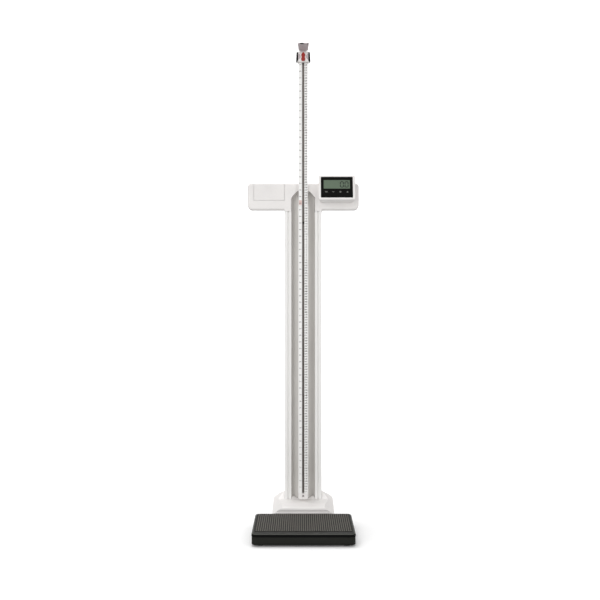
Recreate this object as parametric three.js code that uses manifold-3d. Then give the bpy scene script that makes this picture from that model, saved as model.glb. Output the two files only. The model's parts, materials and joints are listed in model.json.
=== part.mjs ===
// Column scale for weighing and measuring a standing person: a low platform on
// load cells, a column with a crossbar that carries the display head, and a
// telescopic measuring rod with a sliding, folding head rest.
//
// Millimetres. +Z is up, the user steps on from -Y, +X is to the right as seen
// from there. The origin is on the floor, under the middle of the whole scale.

import * as THREE from 'three';
import { mergeVertices } from 'three/addons/utils/BufferGeometryUtils.js';
import Module from 'manifold-3d';

const wasm = await Module();
wasm.setup();

// ---------------------------------------------------------------- general

const GAP = 0.3; // play between two neighbouring pieces
const BEYOND = 20; // how far a cutting tool reaches past the surface it opens
const CORNER_STEPS = 3; // facets on a rounded corner
const FACETS = 16; // facets on a full circle
const WELD = 1e-4; // vertices closer than this are the same one
const FAR = 400; // size of a block that stands for a half-space
const OVERLAP = 1; // how far two joined shapes reach into each other

// ---------------------------------------------------------------- driving dimensions

const platform = {
  half: 180, front: -260, rear: 86, bottom: 6.5, top: 44, corner: 18, wall: 3,
  frontRim: 45, sideRim: 10, rearRim: 8, recess: 3, edge: 5, edgeShoulder: 1.5, foot: 3, footInset: 1.5,
};
const mat = { ribPitch: 7.5, ribWidth: 4, crestWidth: 2.6, ribHeight: 1.5, base: 1.8 };
const frame = {
  half: 164, front: -244, rear: 78, bottom: 12, top: 17, tailRoom: 3,
  tailHalf: 108, tailFront: 60, tailRear: 206, spineHalf: 82, spineFront: 205, spineRear: 242.4,
  earTop: 42, earFront: 210, earThick: 4,
};
const foot = {
  padRadius: 16, padEdge: 4, padHeight: 6, padBevel: 1, collarRadius: 9, collarTop: 9, stemRadius: 4,
  stemTop: 27,
  frontX: 150, frontY: -222, rearX: 92, rearY: 186,
};
const cell = {
  x: 128, frontY: -205, rearY: 40, length: 72, width: 20, height: 12, blockLength: 20,
  blockHeight: 4, buttonRadius: 6, travelGap: 1.3, waist: 4, waistPitch: 16, slotHalf: 1,
};
const wheel = { x: 93, y: 236, z: 27, radius: 24, width: 18, hubRadius: 9, rim: 5, recess: 3, bevel: 2 };
const axle = { radius: 4, headRadius: 7, headThick: 3.2, inner: 76 };
const cover = {
  half: 119, front: 92, rear: 246, bottom: 10, wall: 3, frontTop: 62, columnTop: 77, recessTop: 79,
  humpTop: 102, humpFront: 226, shoulder: 80, shoulderHalf: 115, rearRound: 12,
  tuck: 7, tuckLevel: 45.5, faceHalf: 105, flankDepth: 44.5,
  wheelRoom: 3, columnRoom: 0.5, middleDip: 6,
  frontRound: 10, middleRound: 60, recessRound: 10, humpFrontRound: 4, humpRearRound: 6, humpFrontReach: 8,
  shoulderRound: 5, shoulderTopRound: 12,
};
const column = {
  half: 71.5, recessHalf: 45.5, front: 198, rear: 240, bottom: 17.3, top: 1190.5,
  outerRidge: 6, innerRidge: 4.5, grooveDepth: 6, wall: 2.5, hollowInner: 52.5, hollowFront: 208,
  webFront: 228, webThick: 3, webHalf: 49.5, webTop: 1284, softRound: 1, rearRound: 3, ridgeSlack: 0.1,
};
const footBracket = { half: 43, front: 172, thick: 5, top: 68, bend: 4 };
const crossbar = {
  half: 215.5, front: 196, rear: 250, split: 236, bottom: 1196, top: 1299.6, wall: 3, round: 8,
  lowerCorner: 18, upperCorner: 14, collarHalf: 73.5, collarBottom: 1191, collarTop: 1225,
  archHalf: 46, archShoulder: 1244, archTopHalf: 24, archTop: 1268, archRound: 11, ductTop: 1196,
};
const spreader = {
  half: 180, bottom: 1210, top: 1288, tongueHalf: 34, tongueBottom: 1080, thick: 4.4, corner: 6,
};
const lid = { left: -191.5, right: -72, bottom: 1232, thick: 4, backing: 3.4, border: 7.5, topBorder: 9.5 };
const tray = { wall: 2, rear: 230.5 };
const battery = {
  radius: 7.1, length: 49.2, bevel: 0.4, nubRadius: 2.7, nubLength: 1, pitch: 16, rows: 3, inset: 1,
};
const head = {
  x: 128.5, front: 134, bottom: 1230, tilt: THREE.MathUtils.degToRad(17.25),
  half: 70.25, height: 101, corner: 6, rearHalf: 64, rearBottom: 1222.6, rearTop: 1318, rearCorner: 8,
  wall: 3, bezelDepth: 3.7, bezelRound: 1,
};
const panel = { half: 61, bottom: 8, top: 93.5, corner: 3, front: 0.6, thick: 2 };
const lcd = { half: 50.5, bottom: 45, top: 81, corner: 1, front: 1.2, lip: 4, rear: 7 };
const keys = {
  count: 4, pitch: 27, level: 31.8, half: 11, halfHeight: 6, corner: 2, flange: 1, rear: 4.9, front: 0.9,
};
const board = { half: 58, bottom: 10, top: 92, front: 9, thick: 1.6 };
const rod = {
  front: 173, depth: 14, half: 19, innerHalf: 17.2, grooveHalf: 4.25, wall: 1.5,
  outerBottom: 103.2, outerTop: 1207, innerBottom: 700, innerTop: 1795, capBottom: 80.6, capCorner: 9,
  guideThick: 4, topCap: 2.7, detentLevel: 1145, detentRadius: 3, detentLength: 3.9,
  screwLevel: 93, screwRadius: 3.6, screwProud: 1, screwDepth: 3,
};
const rodBracket = {
  levels: { lower: 190, middle: 650, upper: 1120 },
  half: 9, neckHalf: 6, footHalf: 20, flange: 4, height: 30, edgeRound: 1, neckRound: 2,
};
const slide = {
  half: 22, front: 155, bottom: 1759.5, top: 1798.5, boreHalf: 19.4, boreFront: 172.5, boreRear: 187.5,
  lipHalf: 13, lipRear: 191.5, corner: 5, edgeRound: 1,
};
const grip = {
  front: 157, rear: 188, bottom: 1763, top: 1796, topReach: 3.6, bottomReach: 5.2, ribs: 6, rib: 0.8,
};
const guideKey = { half: 3.9, rear: 177, headHalf: 8, headFront: 169, bottom: 1762, top: 1792 };
const catchKnob = {
  front: 152, depth: 5, travel: 2, tip: 1797.6, upper: 1786, waist: 1777, lower: 1770, bottom: 1762,
  upperHalf: 7, waistHalf: 4.6, lowerHalf: 6.8, footHalf: 4.5, stemLevel: 1778, stemRadius: 2,
  stemRear: 165.5,
  room: 0.4, springRoom: 5, footRound: 3, tipRound: 1, sideRound: 5, waistRound: 4,
};
const spring = { radius: 3.2, wire: 0.5, length: 5, turns: 3, stepsPerTurn: 12, sides: 6 };
const tongue = {
  axisY: 147, axisZ: 1800, halfThick: 2, front: 36, rearHalf: 17.5, frontHalf: 20.5, corner: 6,
  neckHalf: 10.7, barrelRadius: 3.5, reach: 7, grooves: 7, groovePitch: 4, grooveWidth: 2.6, grooveDepth: 0.8,
  grooveMargin: 7, rearCorner: 1,
};
const hinge = { lugInner: 11, lugOuter: 15, lugRadius: 4.5, lugFoot: 1788, pinRadius: 1.5, pinHalf: 15 };
const cable = {
  radius: 2.5, room: 4, x: 61, y: 222, sides: 6, steps: 44, window: [24, 66], windowRear: 226,
  ductBottom: 40, ductTop: 1190, ductTurn: 1212, bend: [82, 220, 1228], outletZ: 1250,
};
const junction = { half: 24, front: 120, rear: 165, bottom: 24, thick: 2 };

// ---------------------------------------------------------------- outlines

const both = (half) => [-half, half];
const span = (middle, half) => [middle - half, middle + half];
const onSide = (side, inner, outer) => (side > 0 ? [inner, outer] : [-outer, -inner]);
const vector = (x, y) => new THREE.Vector2(x, y);

function circle(x, y, radius, count = FACETS) {
  return Array.from({ length: count }, (_, i) => {
    const angle = (i / count) * 2 * Math.PI;
    return vector(x + radius * Math.cos(angle), y + radius * Math.sin(angle));
  });
}

// A polygon given as [x, y, radius] corners, each one rounded by its radius.
function filleted(corners, steps = CORNER_STEPS) {
  return corners.flatMap(([x, y, radius = 0], i) => {
    const here = vector(x, y);
    if (radius <= 0) return [here];
    const [beforeX, beforeY] = corners.at(i - 1);
    const [afterX, afterY] = corners[(i + 1) % corners.length];
    const toBefore = vector(beforeX, beforeY).sub(here).normalize();
    const toAfter = vector(afterX, afterY).sub(here).normalize();
    const halfAngle = Math.acos(THREE.MathUtils.clamp(toBefore.dot(toAfter), -1, 1)) / 2;
    const reach = radius / Math.tan(halfAngle);
    const toCentre = toBefore.clone().add(toAfter).normalize().multiplyScalar(radius / Math.sin(halfAngle));
    const centre = here.clone().add(toCentre);
    const start = here.clone().addScaledVector(toBefore, reach).sub(centre);
    const end = here.clone().addScaledVector(toAfter, reach).sub(centre);
    const sweep = Math.atan2(start.cross(end), start.dot(end));
    return Array.from({ length: steps + 1 }, (_, step) => {
      const turned = start.clone().rotateAround(vector(0, 0), (sweep * step) / steps);
      return turned.add(centre);
    });
  });
}

function roundedRectangle([x0, x1], [y0, y1], radius) {
  return filleted([[x0, y0, radius], [x1, y0, radius], [x1, y1, radius], [x0, y1, radius]]);
}

const mirrored = (points) => points.map((point) => vector(-point.x, point.y)).reverse();
const mirroredCorners = (corners) => corners.map(([x, y, radius]) => [-x, y, radius]).reverse();

// ---------------------------------------------------------------- solids

const axes = {
  x: new THREE.Matrix4().set(0, 0, 1, 0, 1, 0, 0, 0, 0, 1, 0, 0, 0, 0, 0, 1),
  y: new THREE.Matrix4().set(1, 0, 0, 0, 0, 0, -1, 0, 0, 1, 0, 0, 0, 0, 0, 1),
  z: new THREE.Matrix4(),
};

function block([x0, x1], [y0, y1], [z0, z1]) {
  const box = new THREE.BoxGeometry(x1 - x0, y1 - y0, z1 - z0);
  return box.translate((x0 + x1) / 2, (y0 + y1) / 2, (z0 + z1) / 2);
}

// An outline pushed along an axis. Its points are (y, z) along x, (x, z) along y and (x, y) along z.
function prism(axis, outline, [from, to], { holes = [], bevel = 0 } = {}) {
  const shape = new THREE.Shape(outline);
  shape.holes = holes.map((hole) => new THREE.Path(hole));
  const geometry = new THREE.ExtrudeGeometry(shape, {
    depth: to - from - 2 * bevel,
    bevelEnabled: bevel > 0,
    bevelThickness: bevel,
    bevelSize: bevel,
    bevelOffset: -bevel,
    bevelSegments: 3,
  });
  geometry.translate(0, 0, bevel).applyMatrix4(axes[axis]);
  if (axis === 'y') return geometry.translate(0, to, 0);
  return axis === 'x' ? geometry.translate(from, 0, 0) : geometry.translate(0, 0, from);
}

const bar = (axis, [u, v], radius, ends, count = FACETS) => prism(axis, circle(u, v, radius, count), ends);

// A profile of [radius, height] points turned about the Z axis.
function turned(profile, count = FACETS) {
  const points = profile.map(([radius, height]) => vector(radius, height));
  return new THREE.LatheGeometry(points, count).applyMatrix4(axes.y);
}

// Skin over rings of equal, convex outlines, closed at both ends.
function loft(rings) {
  const count = rings[0].length;
  const positions = rings.flat().flatMap((point) => point.toArray());
  const faces = [];
  for (let ring = 0; ring < rings.length - 1; ring += 1) {
    for (let i = 0; i < count; i += 1) {
      const next = (i + 1) % count;
      const low = ring * count;
      const high = low + count;
      faces.push(low + i, low + next, high + next, low + i, high + next, high + i);
    }
  }
  const last = (rings.length - 1) * count;
  for (let i = 1; i < count - 1; i += 1) {
    faces.push(0, i + 1, i, last, last + i, last + i + 1);
  }
  const geometry = new THREE.BufferGeometry();
  geometry.setAttribute('position', new THREE.Float32BufferAttribute(positions, 3));
  geometry.setIndex(faces);
  return geometry;
}

const ringAt = (outline, z) => outline.map((point) => new THREE.Vector3(point.x, point.y, z));

// ---------------------------------------------------------------- joining and cutting

function toSolid(geometry) {
  const bare = geometry.clone();
  bare.deleteAttribute('normal');
  bare.deleteAttribute('uv');
  const welded = mergeVertices(bare, WELD);
  return new wasm.Manifold(new wasm.Mesh({
    numProp: 3,
    vertProperties: new Float32Array(welded.attributes.position.array),
    triVerts: new Uint32Array(welded.index.array),
  }));
}

function toGeometry(solid) {
  const mesh = solid.getMesh();
  const geometry = new THREE.BufferGeometry();
  geometry.setAttribute('position', new THREE.BufferAttribute(mesh.vertProperties, 3));
  geometry.setIndex(new THREE.BufferAttribute(mesh.triVerts, 1));
  geometry.computeVertexNormals();
  return geometry;
}

function combine(operation, first, others) {
  const solid = others.reduce((left, right) => left[operation](toSolid(right)), toSolid(first));
  return toGeometry(solid);
}

const join = (first, ...others) => combine('add', first, others);
const cut = (body, ...tools) => combine('subtract', body, tools);
const common = (first, ...others) => combine('intersect', first, others);

// ---------------------------------------------------------------- materials

const finish = (color, roughness, metalness) => () => new THREE.MeshStandardMaterial(
  { color, roughness, metalness },
);
const whitePlastic = finish(0xe6e2df, 0.42, 0);
const whiteMetal = finish(0xf0efee, 0.38, 0.1);
const greyMetal = finish(0xa8a5a2, 0.5, 0.2);
const blackPlastic = finish(0x2f312c, 0.5, 0);
const ribbedRubber = finish(0x4c4b46, 0.8, 0);
const blackRubber = finish(0x1f1f1f, 0.85, 0);
const darkSteel = finish(0x3a3b3c, 0.5, 0.7);
const zincSteel = finish(0xb9bcc0, 0.35, 0.9);
const aluminium = finish(0xc8cbce, 0.35, 0.9);
const redPlastic = finish(0x96281f, 0.35, 0);
const greyPlastic = finish(0xa39b98, 0.55, 0);
const blackGloss = finish(0x31302b, 0.2, 0);
const lcdGlass = finish(0x6b7e6c, 0.15, 0);
const greenBoard = finish(0x2f6b45, 0.5, 0);
const batteryWrap = finish(0x5d6a78, 0.4, 0.3);

const scale = new THREE.Group();

function add(name, geometry, material, parent = scale) {
  const mesh = new THREE.Mesh(geometry, material());
  mesh.name = name;
  parent.add(mesh);
  return mesh;
}

// ---------------------------------------------------------------- base frame, feet and wheels

const sides = [['left', -1], ['right', 1]];
const feet = [
  ['front_left', -foot.frontX, foot.frontY], ['front_right', foot.frontX, foot.frontY],
  ['rear_left', -foot.rearX, foot.rearY], ['rear_right', foot.rearX, foot.rearY],
];

function baseFrame() {
  const level = [frame.bottom, frame.top];
  const ears = sides.map(([, side]) => block(
    onSide(side, frame.spineHalf - frame.earThick, frame.spineHalf),
    [frame.earFront, frame.spineRear], [frame.bottom, frame.earTop],
  ));
  const plate = join(
    prism('z', roundedRectangle(both(frame.half), [frame.front, frame.rear], platform.corner), level),
    block(both(frame.tailHalf), [frame.tailFront, frame.tailRear], level),
    block(both(frame.spineHalf), [frame.spineFront, frame.spineRear], level),
    ...ears,
  );
  const footHoles = feet.map(([, x, y]) => bar('z', [x, y], foot.stemRadius + GAP, [0, frame.earTop]));
  const axleHole = bar('x', [wheel.y, wheel.z], axle.radius + GAP, both(frame.half));
  return cut(plate, ...footHoles, axleHole);
}

function levellingFoot() {
  return turned([
    [0, 0], [foot.padRadius - foot.padBevel, 0], [foot.padRadius, foot.padBevel],
    [foot.padRadius, foot.padEdge],
    [foot.collarRadius, foot.padHeight], [foot.collarRadius, foot.collarTop],
    [foot.stemRadius, foot.collarTop],
    [foot.stemRadius, foot.stemTop], [0, foot.stemTop],
  ]);
}

// Bending beam: bolted down at one end, loaded through a button at the other.
function loadCell() {
  const bottom = frame.top + GAP + cell.blockHeight;
  const top = bottom + cell.height;
  const panUnderside = platform.top - platform.recess - platform.wall;
  const halfLength = cell.length / 2;
  const beam = join(
    block(both(halfLength), both(cell.width / 2), [bottom, top]),
    block([-halfLength, cell.blockLength - halfLength], both(cell.width / 2), [frame.top + GAP, bottom]),
    bar('z', [halfLength - cell.blockLength / 2, 0], cell.buttonRadius, [top, panUnderside - cell.travelGap]),
  );
  const middle = bottom + cell.height / 2;
  const waists = both(cell.waistPitch / 2).map((x) =>
    bar('y', [x, middle], cell.waist, both(cell.width)));
  const slot = block(both(cell.waistPitch / 2), both(cell.width), span(middle, cell.slotHalf));
  return cut(beam, ...waists, slot);
}

function wheelBody() {
  const half = wheel.width / 2;
  const web = half - wheel.recess;
  const profile = [
    [axle.radius + GAP, -half], [wheel.hubRadius, -half], [wheel.hubRadius, -web],
    [wheel.radius - wheel.rim, -web], [wheel.radius - wheel.rim, -half], [wheel.radius - wheel.bevel, -half],
    [wheel.radius, wheel.bevel - half], [wheel.radius, half - wheel.bevel],
    [wheel.radius - wheel.bevel, half],
    [wheel.radius - wheel.rim, half], [wheel.radius - wheel.rim, web], [wheel.hubRadius, web],
    [wheel.hubRadius, half], [axle.radius + GAP, half], [axle.radius + GAP, -half],
  ];
  return turned(profile).rotateY(Math.PI / 2);
}

function wheelAxle(side) {
  const outer = wheel.x + wheel.width / 2 + GAP;
  return join(
    bar('x', [0, 0], axle.radius, onSide(side, axle.inner, outer + OVERLAP)),
    bar('x', [0, 0], axle.headRadius, onSide(side, outer, outer + axle.headThick)),
  );
}

add('base_frame', baseFrame(), darkSteel);
for (const [name, x, y] of feet) {
  add(`foot_${name}`, levellingFoot(), blackRubber).position.set(x, y, 0);
}
for (const [end, y] of [['front', cell.frontY], ['rear', cell.rearY]]) {
  for (const [name, side] of sides) {
    const beam = add(`load_cell_${end}_${name}`, loadCell(), aluminium);
    beam.position.set(side * cell.x, y, 0);
    beam.rotation.z = side < 0 ? 0 : Math.PI;
  }
}
for (const [name, side] of sides) {
  add(`wheel_${name}`, wheelBody(), blackRubber).position.set(side * wheel.x, wheel.y, wheel.z);
  add(`wheel_axle_${name}`, wheelAxle(side), zincSteel).position.set(0, wheel.y, wheel.z);
}

// ---------------------------------------------------------------- platform

function platformOutline(inset) {
  const across = both(platform.half - inset);
  const along = [platform.front + inset, platform.rear - inset];
  return roundedRectangle(across, along, Math.max(platform.corner - inset, 1));
}

const recessFloor = platform.top - platform.recess;
const matAcross = both(platform.half - platform.sideRim);
const matAlong = [platform.front + platform.frontRim, platform.rear - platform.rearRim];

function platformPan() {
  const outer = loft([
    ringAt(platformOutline(platform.footInset), platform.bottom),
    ringAt(platformOutline(0), platform.bottom + platform.foot),
    ringAt(platformOutline(0), platform.top - platform.edge),
    ringAt(platformOutline(platform.edgeShoulder), platform.top - platform.edgeShoulder),
    ringAt(platformOutline(platform.edge), platform.top),
  ]);
  const hollow = prism('z', platformOutline(platform.wall), [0, recessFloor - platform.wall]);
  const matSeat = block(matAcross, matAlong, [recessFloor, platform.top + BEYOND]);
  const tailNotch = block(
    both(frame.tailHalf + frame.tailRoom), [frame.rear, platform.rear + BEYOND],
    [0, frame.top + frame.tailRoom],
  );
  return cut(outer, hollow, matSeat, tailNotch);
}

function platformMat() {
  const [left, right] = [matAcross[0] + GAP, matAcross[1] - GAP];
  const bottom = recessFloor + GAP;
  const valley = bottom + mat.base;
  const crest = valley + mat.ribHeight;
  const ribCount = Math.floor((right - left) / mat.ribPitch);
  const firstRib = -((ribCount - 1) / 2) * mat.ribPitch;
  const ribs = Array.from({ length: ribCount }, (_, i) => {
    const x = firstRib + i * mat.ribPitch;
    const [foot0, foot1] = span(x, mat.ribWidth / 2);
    const [top0, top1] = span(x, mat.crestWidth / 2);
    return [vector(foot0, valley), vector(top0, crest), vector(top1, crest), vector(foot1, valley)];
  }).flat();
  const leftEdge = [vector(left, bottom), vector(left, valley)];
  const rightEdge = [vector(right, valley), vector(right, bottom)];
  const outline = [...leftEdge, ...ribs, ...rightEdge].reverse();
  return prism('y', outline, [matAlong[0] + GAP, matAlong[1] - GAP]);
}

add('platform_pan', platformPan(), blackPlastic);
add('platform_mat', platformMat(), ribbedRubber);

// ---------------------------------------------------------------- base cover

// A half-space beyond the plane through three points, as a large block resting on it.
function beyondPlane(a, b, c, offset) {
  const normal = b.clone().sub(a).cross(c.clone().sub(a)).normalize();
  const slab = new THREE.BoxGeometry(FAR, FAR, FAR).translate(0, 0, FAR / 2);
  const turn = new THREE.Quaternion().setFromUnitVectors(new THREE.Vector3(0, 0, 1), normal);
  const place = a.clone().addScaledVector(normal, -offset);
  return slab.applyQuaternion(turn).translate(place.x, place.y, place.z);
}

function coverSolid(inset) {
  const bottom = inset > 0 ? 0 : cover.bottom;
  const front = cover.front + inset;
  const rear = cover.rear - inset;
  const half = cover.half - inset;
  const top = cover.humpTop - inset;
  const shoulder = [cover.shoulderHalf - inset, cover.shoulder - inset, cover.shoulderRound];
  const sideView = filleted([
    [rear, bottom], [rear, top, cover.humpRearRound],
    [cover.humpFront + cover.humpFrontReach, top, cover.humpFrontRound],
    [column.front + 2, cover.columnTop - inset, cover.recessRound],
    [(front + column.front) / 2, cover.columnTop - cover.middleDip - inset, cover.middleRound],
    [front, cover.frontTop - inset, cover.frontRound],
    [front + cover.tuck, cover.tuckLevel], [front + cover.tuck, bottom],
  ]);
  const rightView = [[half, bottom], shoulder, [column.half, top, cover.shoulderTopRound]];
  const frontView = filleted([...rightView, ...mirroredCorners(rightView)]);
  const plan = filleted([
    [-half, front], [half, front], [half, rear, cover.rearRound], [-half, rear, cover.rearRound],
  ]);
  const body = common(
    prism('x', sideView, both(cover.half)),
    prism('y', frontView, [cover.front, cover.rear]),
    prism('z', plan, [bottom, cover.humpTop]),
  );
  const corners = sides.map(([, side]) => {
    const low = new THREE.Vector3(side * cover.faceHalf, cover.front + cover.tuck, cover.tuckLevel);
    const flank = new THREE.Vector3(side * cover.half, cover.front + cover.flankDepth, cover.tuckLevel);
    const high = new THREE.Vector3(side * column.half, cover.humpFront, cover.humpTop);
    return side > 0 ? beyondPlane(low, flank, high, inset) : beyondPlane(low, high, flank, inset);
  });
  return cut(body, ...corners);
}

function baseCover() {
  const room = cover.columnRoom;
  const above = [0, cover.humpTop + BEYOND];
  const profileHoles = sides.map(([, side]) => block(
    onSide(side, column.recessHalf - room, column.half + room), [column.front - room, column.rear + room],
    above,
  ));
  const webHole = block(both(column.recessHalf), [column.webFront - room, column.rear + room], above);
  const tailNotch = block(
    both(frame.tailHalf + room), [cover.front - BEYOND, cover.front + cover.tuck + cover.wall + OVERLAP],
    [0, frame.top + room],
  );
  const recess = block(
    both(column.recessHalf), [column.front - room, column.webFront],
    [cover.recessTop, cover.humpTop + BEYOND],
  );
  const wellHalf = wheel.width / 2 + GAP + axle.headThick + cover.wheelRoom;
  const wheelWells = sides.map(([, side]) => bar(
    'x', [wheel.y, wheel.z], wheel.radius + cover.wheelRoom, span(side * wheel.x, wellHalf),
  ));
  return cut(
    coverSolid(0), coverSolid(cover.wall), ...profileHoles, webHole, recess, tailNotch, ...wheelWells,
  );
}

function junctionBoard() {
  return block(
    both(junction.half), [junction.front, junction.rear], [junction.bottom, junction.bottom + junction.thick],
  );
}

add('base_cover', baseCover(), whitePlastic);
add('junction_board', junctionBoard(), greenBoard);

// ---------------------------------------------------------------- column

// Hollow extrusion with two rounded ridges on its front and a slot for the web.
function profileOutline() {
  const outerCentre = column.half - column.outerRidge;
  const innerCentre = column.recessHalf + column.innerRidge;
  const valley = column.front + column.grooveDepth;
  const slot = [column.webFront - GAP, column.webFront + column.webThick + GAP];
  const slotEnd = column.webHalf + GAP;
  return filleted([
    [column.half, column.rear, column.rearRound], [column.recessHalf, column.rear, column.softRound],
    [column.recessHalf, slot[1]], [slotEnd, slot[1]], [slotEnd, slot[0]], [column.recessHalf, slot[0]],
    [column.recessHalf, column.front, column.innerRidge - column.ridgeSlack],
    [innerCentre + column.innerRidge, column.front, column.innerRidge - column.ridgeSlack],
    [innerCentre + column.innerRidge, valley], [outerCentre - column.outerRidge, valley],
    [outerCentre - column.outerRidge, column.front, column.outerRidge - column.ridgeSlack],
    [column.half, column.front, column.outerRidge - column.ridgeSlack],
  ]);
}

function columnProfile(side) {
  const outline = profileOutline();
  const hollow = roundedRectangle(
    [column.hollowInner, column.half - column.wall], [column.hollowFront, column.rear - column.wall],
    column.softRound,
  );
  const ends = [column.bottom, column.top];
  if (side < 0) return prism('z', mirrored(outline), ends, { holes: [mirrored(hollow)] });
  const duct = block(
    [column.recessHalf - OVERLAP, column.hollowInner + OVERLAP], [column.hollowFront, cable.windowRear],
    cable.window,
  );
  return cut(prism('z', outline, ends, { holes: [hollow] }), duct);
}

function columnWeb() {
  const thickness = [column.webFront, column.webFront + column.webThick];
  return cut(
    block(both(column.webHalf), thickness, [column.bottom, column.webTop]),
    ...sides.map(([, side]) => block(
      onSide(side, column.recessHalf, column.half), [column.front, column.rear],
      [column.top - OVERLAP, column.webTop + OVERLAP],
    )),
  );
}

// Angle that bolts the column to the base frame.
function columnFoot() {
  const rear = column.webFront - GAP;
  const bottom = frame.top + GAP;
  const outline = filleted([
    [footBracket.front, bottom], [rear, bottom], [rear, footBracket.top],
    [rear - footBracket.thick, footBracket.top],
    [rear - footBracket.thick, bottom + footBracket.thick, footBracket.bend],
    [footBracket.front, bottom + footBracket.thick],
  ]);
  return prism('x', outline, both(footBracket.half));
}

for (const [name, side] of sides) {
  add(`column_profile_${name}`, columnProfile(side), whiteMetal);
}
add('column_web', columnWeb(), greyMetal);
add('column_foot', columnFoot(), darkSteel);

// ---------------------------------------------------------------- crossbar

// Outer and inner shape of the crossbar: two arms in one body and a collar over the column.
function armsSolid(inset) {
  const lower = crossbar.lowerCorner - inset;
  const upper = crossbar.upperCorner - inset;
  const half = crossbar.half - inset;
  const bottom = crossbar.bottom + inset;
  const top = crossbar.top - inset;
  const outline = filleted(
    [[-half, bottom, lower], [half, bottom, lower], [half, top, upper], [-half, top, upper]],
  );
  const depth = [crossbar.front + inset, crossbar.rear - inset];
  const arms = prism('y', outline, depth, { bevel: crossbar.round - inset });
  const collar = block(
    both(crossbar.collarHalf - inset), [crossbar.front + inset, crossbar.rear - crossbar.round],
    [crossbar.collarBottom + inset, crossbar.collarTop],
  );
  return join(arms, collar);
}

function archTool(grow, rear) {
  const right = [
    [crossbar.archHalf + grow, crossbar.collarBottom - BEYOND],
    [crossbar.archHalf + grow, crossbar.archShoulder, crossbar.archRound],
    [crossbar.archTopHalf + grow, crossbar.archTop + grow, crossbar.archRound],
  ];
  return prism('y', filleted([...right, ...mirroredCorners(right)]), [crossbar.front - BEYOND, rear]);
}

const whole = [-crossbar.half - BEYOND, crossbar.half + BEYOND];
const heights = [crossbar.collarBottom - BEYOND, crossbar.top + BEYOND];

function lidPocket(gap) {
  return block(
    [lid.left + gap, lid.right - gap],
    [crossbar.front - BEYOND, crossbar.front + lid.thick + (gap > 0 ? 0 : GAP)],
    [lid.bottom + gap, crossbar.top + BEYOND],
  );
}

const batteryBay = {
  x: [lid.left + lid.border, lid.right - lid.border],
  z: [lid.bottom + lid.border, crossbar.top - lid.topBorder],
};

function crossbarFrontCover() {
  const cavity = cut(armsSolid(crossbar.wall), archTool(crossbar.wall, column.webFront - GAP));
  const backingFront = crossbar.front + lid.thick;
  const backing = common(armsSolid(OVERLAP), block(
    [lid.left - lid.backing, lid.right + lid.backing], [crossbar.front + OVERLAP, backingFront + lid.backing],
    [lid.bottom - lid.backing, crossbar.top],
  ));
  const shell = join(cut(armsSolid(0), archTool(0, column.webFront), cavity), backing);
  const front = common(shell, block(whole, [crossbar.front - BEYOND, crossbar.split], heights));
  const bayOpening = block(batteryBay.x, [crossbar.front, backingFront + BEYOND / 2], batteryBay.z);
  const cableHole = bar(
    'y', [head.x, cable.outletZ], cable.radius + cable.room, span(crossbar.front, BEYOND / 2),
  );
  const floorHoles = [column.top, crossbar.ductTop];
  const columnHole = block(
    both(column.webHalf + OVERLAP), [column.webFront - GAP - OVERLAP, crossbar.split + OVERLAP], floorHoles,
  );
  const ductHole = bar('z', [cable.x, cable.y], cable.radius + cable.room, floorHoles);
  return cut(front, lidPocket(0), bayOpening, cableHole, columnHole, ductHole);
}

function crossbarRearCover() {
  const shell = cut(armsSolid(0), armsSolid(crossbar.wall));
  return common(shell, block(whole, [crossbar.split + GAP, crossbar.rear + BEYOND], heights));
}

// Steel plate inside the crossbar, with a tongue that bolts to the column.
function crossbarSpreader() {
  const { half, bottom, top, tongueHalf, tongueBottom } = spreader;
  const outline = filleted([
    [-half, bottom], [-tongueHalf, bottom], [-tongueHalf, tongueBottom], [tongueHalf, tongueBottom],
    [tongueHalf, bottom], [half, bottom], [half, top, spreader.corner], [-half, top, spreader.corner],
  ]);
  const front = column.webFront + column.webThick + GAP;
  return prism('y', outline, [front, front + spreader.thick]);
}

const trayFront = crossbar.front + lid.thick + lid.backing + GAP;
const trayAcross = [batteryBay.x[0] - tray.wall, batteryBay.x[1] + tray.wall];
const trayUp = [batteryBay.z[0] - tray.wall, batteryBay.z[1] + tray.wall];

function batteryTray() {
  const inside = block(batteryBay.x, [trayFront - OVERLAP, tray.rear - tray.wall], batteryBay.z);
  return cut(block(trayAcross, [trayFront, tray.rear], trayUp), inside);
}

function batteryCell() {
  return turned([
    [0, 0], [battery.radius - battery.bevel, 0], [battery.radius, battery.bevel],
    [battery.radius, battery.length - battery.bevel], [battery.radius - battery.bevel, battery.length],
    [battery.nubRadius, battery.length], [battery.nubRadius, battery.length + battery.nubLength],
    [0, battery.length + battery.nubLength],
  ]).rotateY(Math.PI / 2);
}

add('crossbar_front_cover', crossbarFrontCover(), whitePlastic);
add('crossbar_rear_cover', crossbarRearCover(), whitePlastic);
add('crossbar_spreader', crossbarSpreader(), darkSteel);
add('battery_lid', common(armsSolid(0), lidPocket(GAP)), whitePlastic);
add('battery_tray', batteryTray(), blackPlastic);

const bayMiddle = (batteryBay.z[0] + batteryBay.z[1]) / 2;
const batteryDepth = (trayFront + tray.rear - tray.wall) / 2;
for (let row = 0; row < battery.rows; row += 1) {
  const z = bayMiddle + (row - (battery.rows - 1) / 2) * battery.pitch;
  const starts = [batteryBay.x[0] + battery.inset, (batteryBay.x[0] + batteryBay.x[1]) / 2 + GAP];
  starts.forEach((x, place) => {
    add(`battery_${row * starts.length + place + 1}`, batteryCell(), batteryWrap).position.set(
      x, batteryDepth, z,
    );
  });
}

// ---------------------------------------------------------------- display head

// Everything on the face is placed in the plane of the face: x across, z up it, y into the body.
const face = new THREE.Group();
face.position.set(head.x, head.front, head.bottom);
face.rotation.x = -head.tilt;
face.updateMatrixWorld();
scale.add(face);

const onFace = (x, y, z) => new THREE.Vector3(x, y, z).applyMatrix4(face.matrixWorld);

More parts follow.
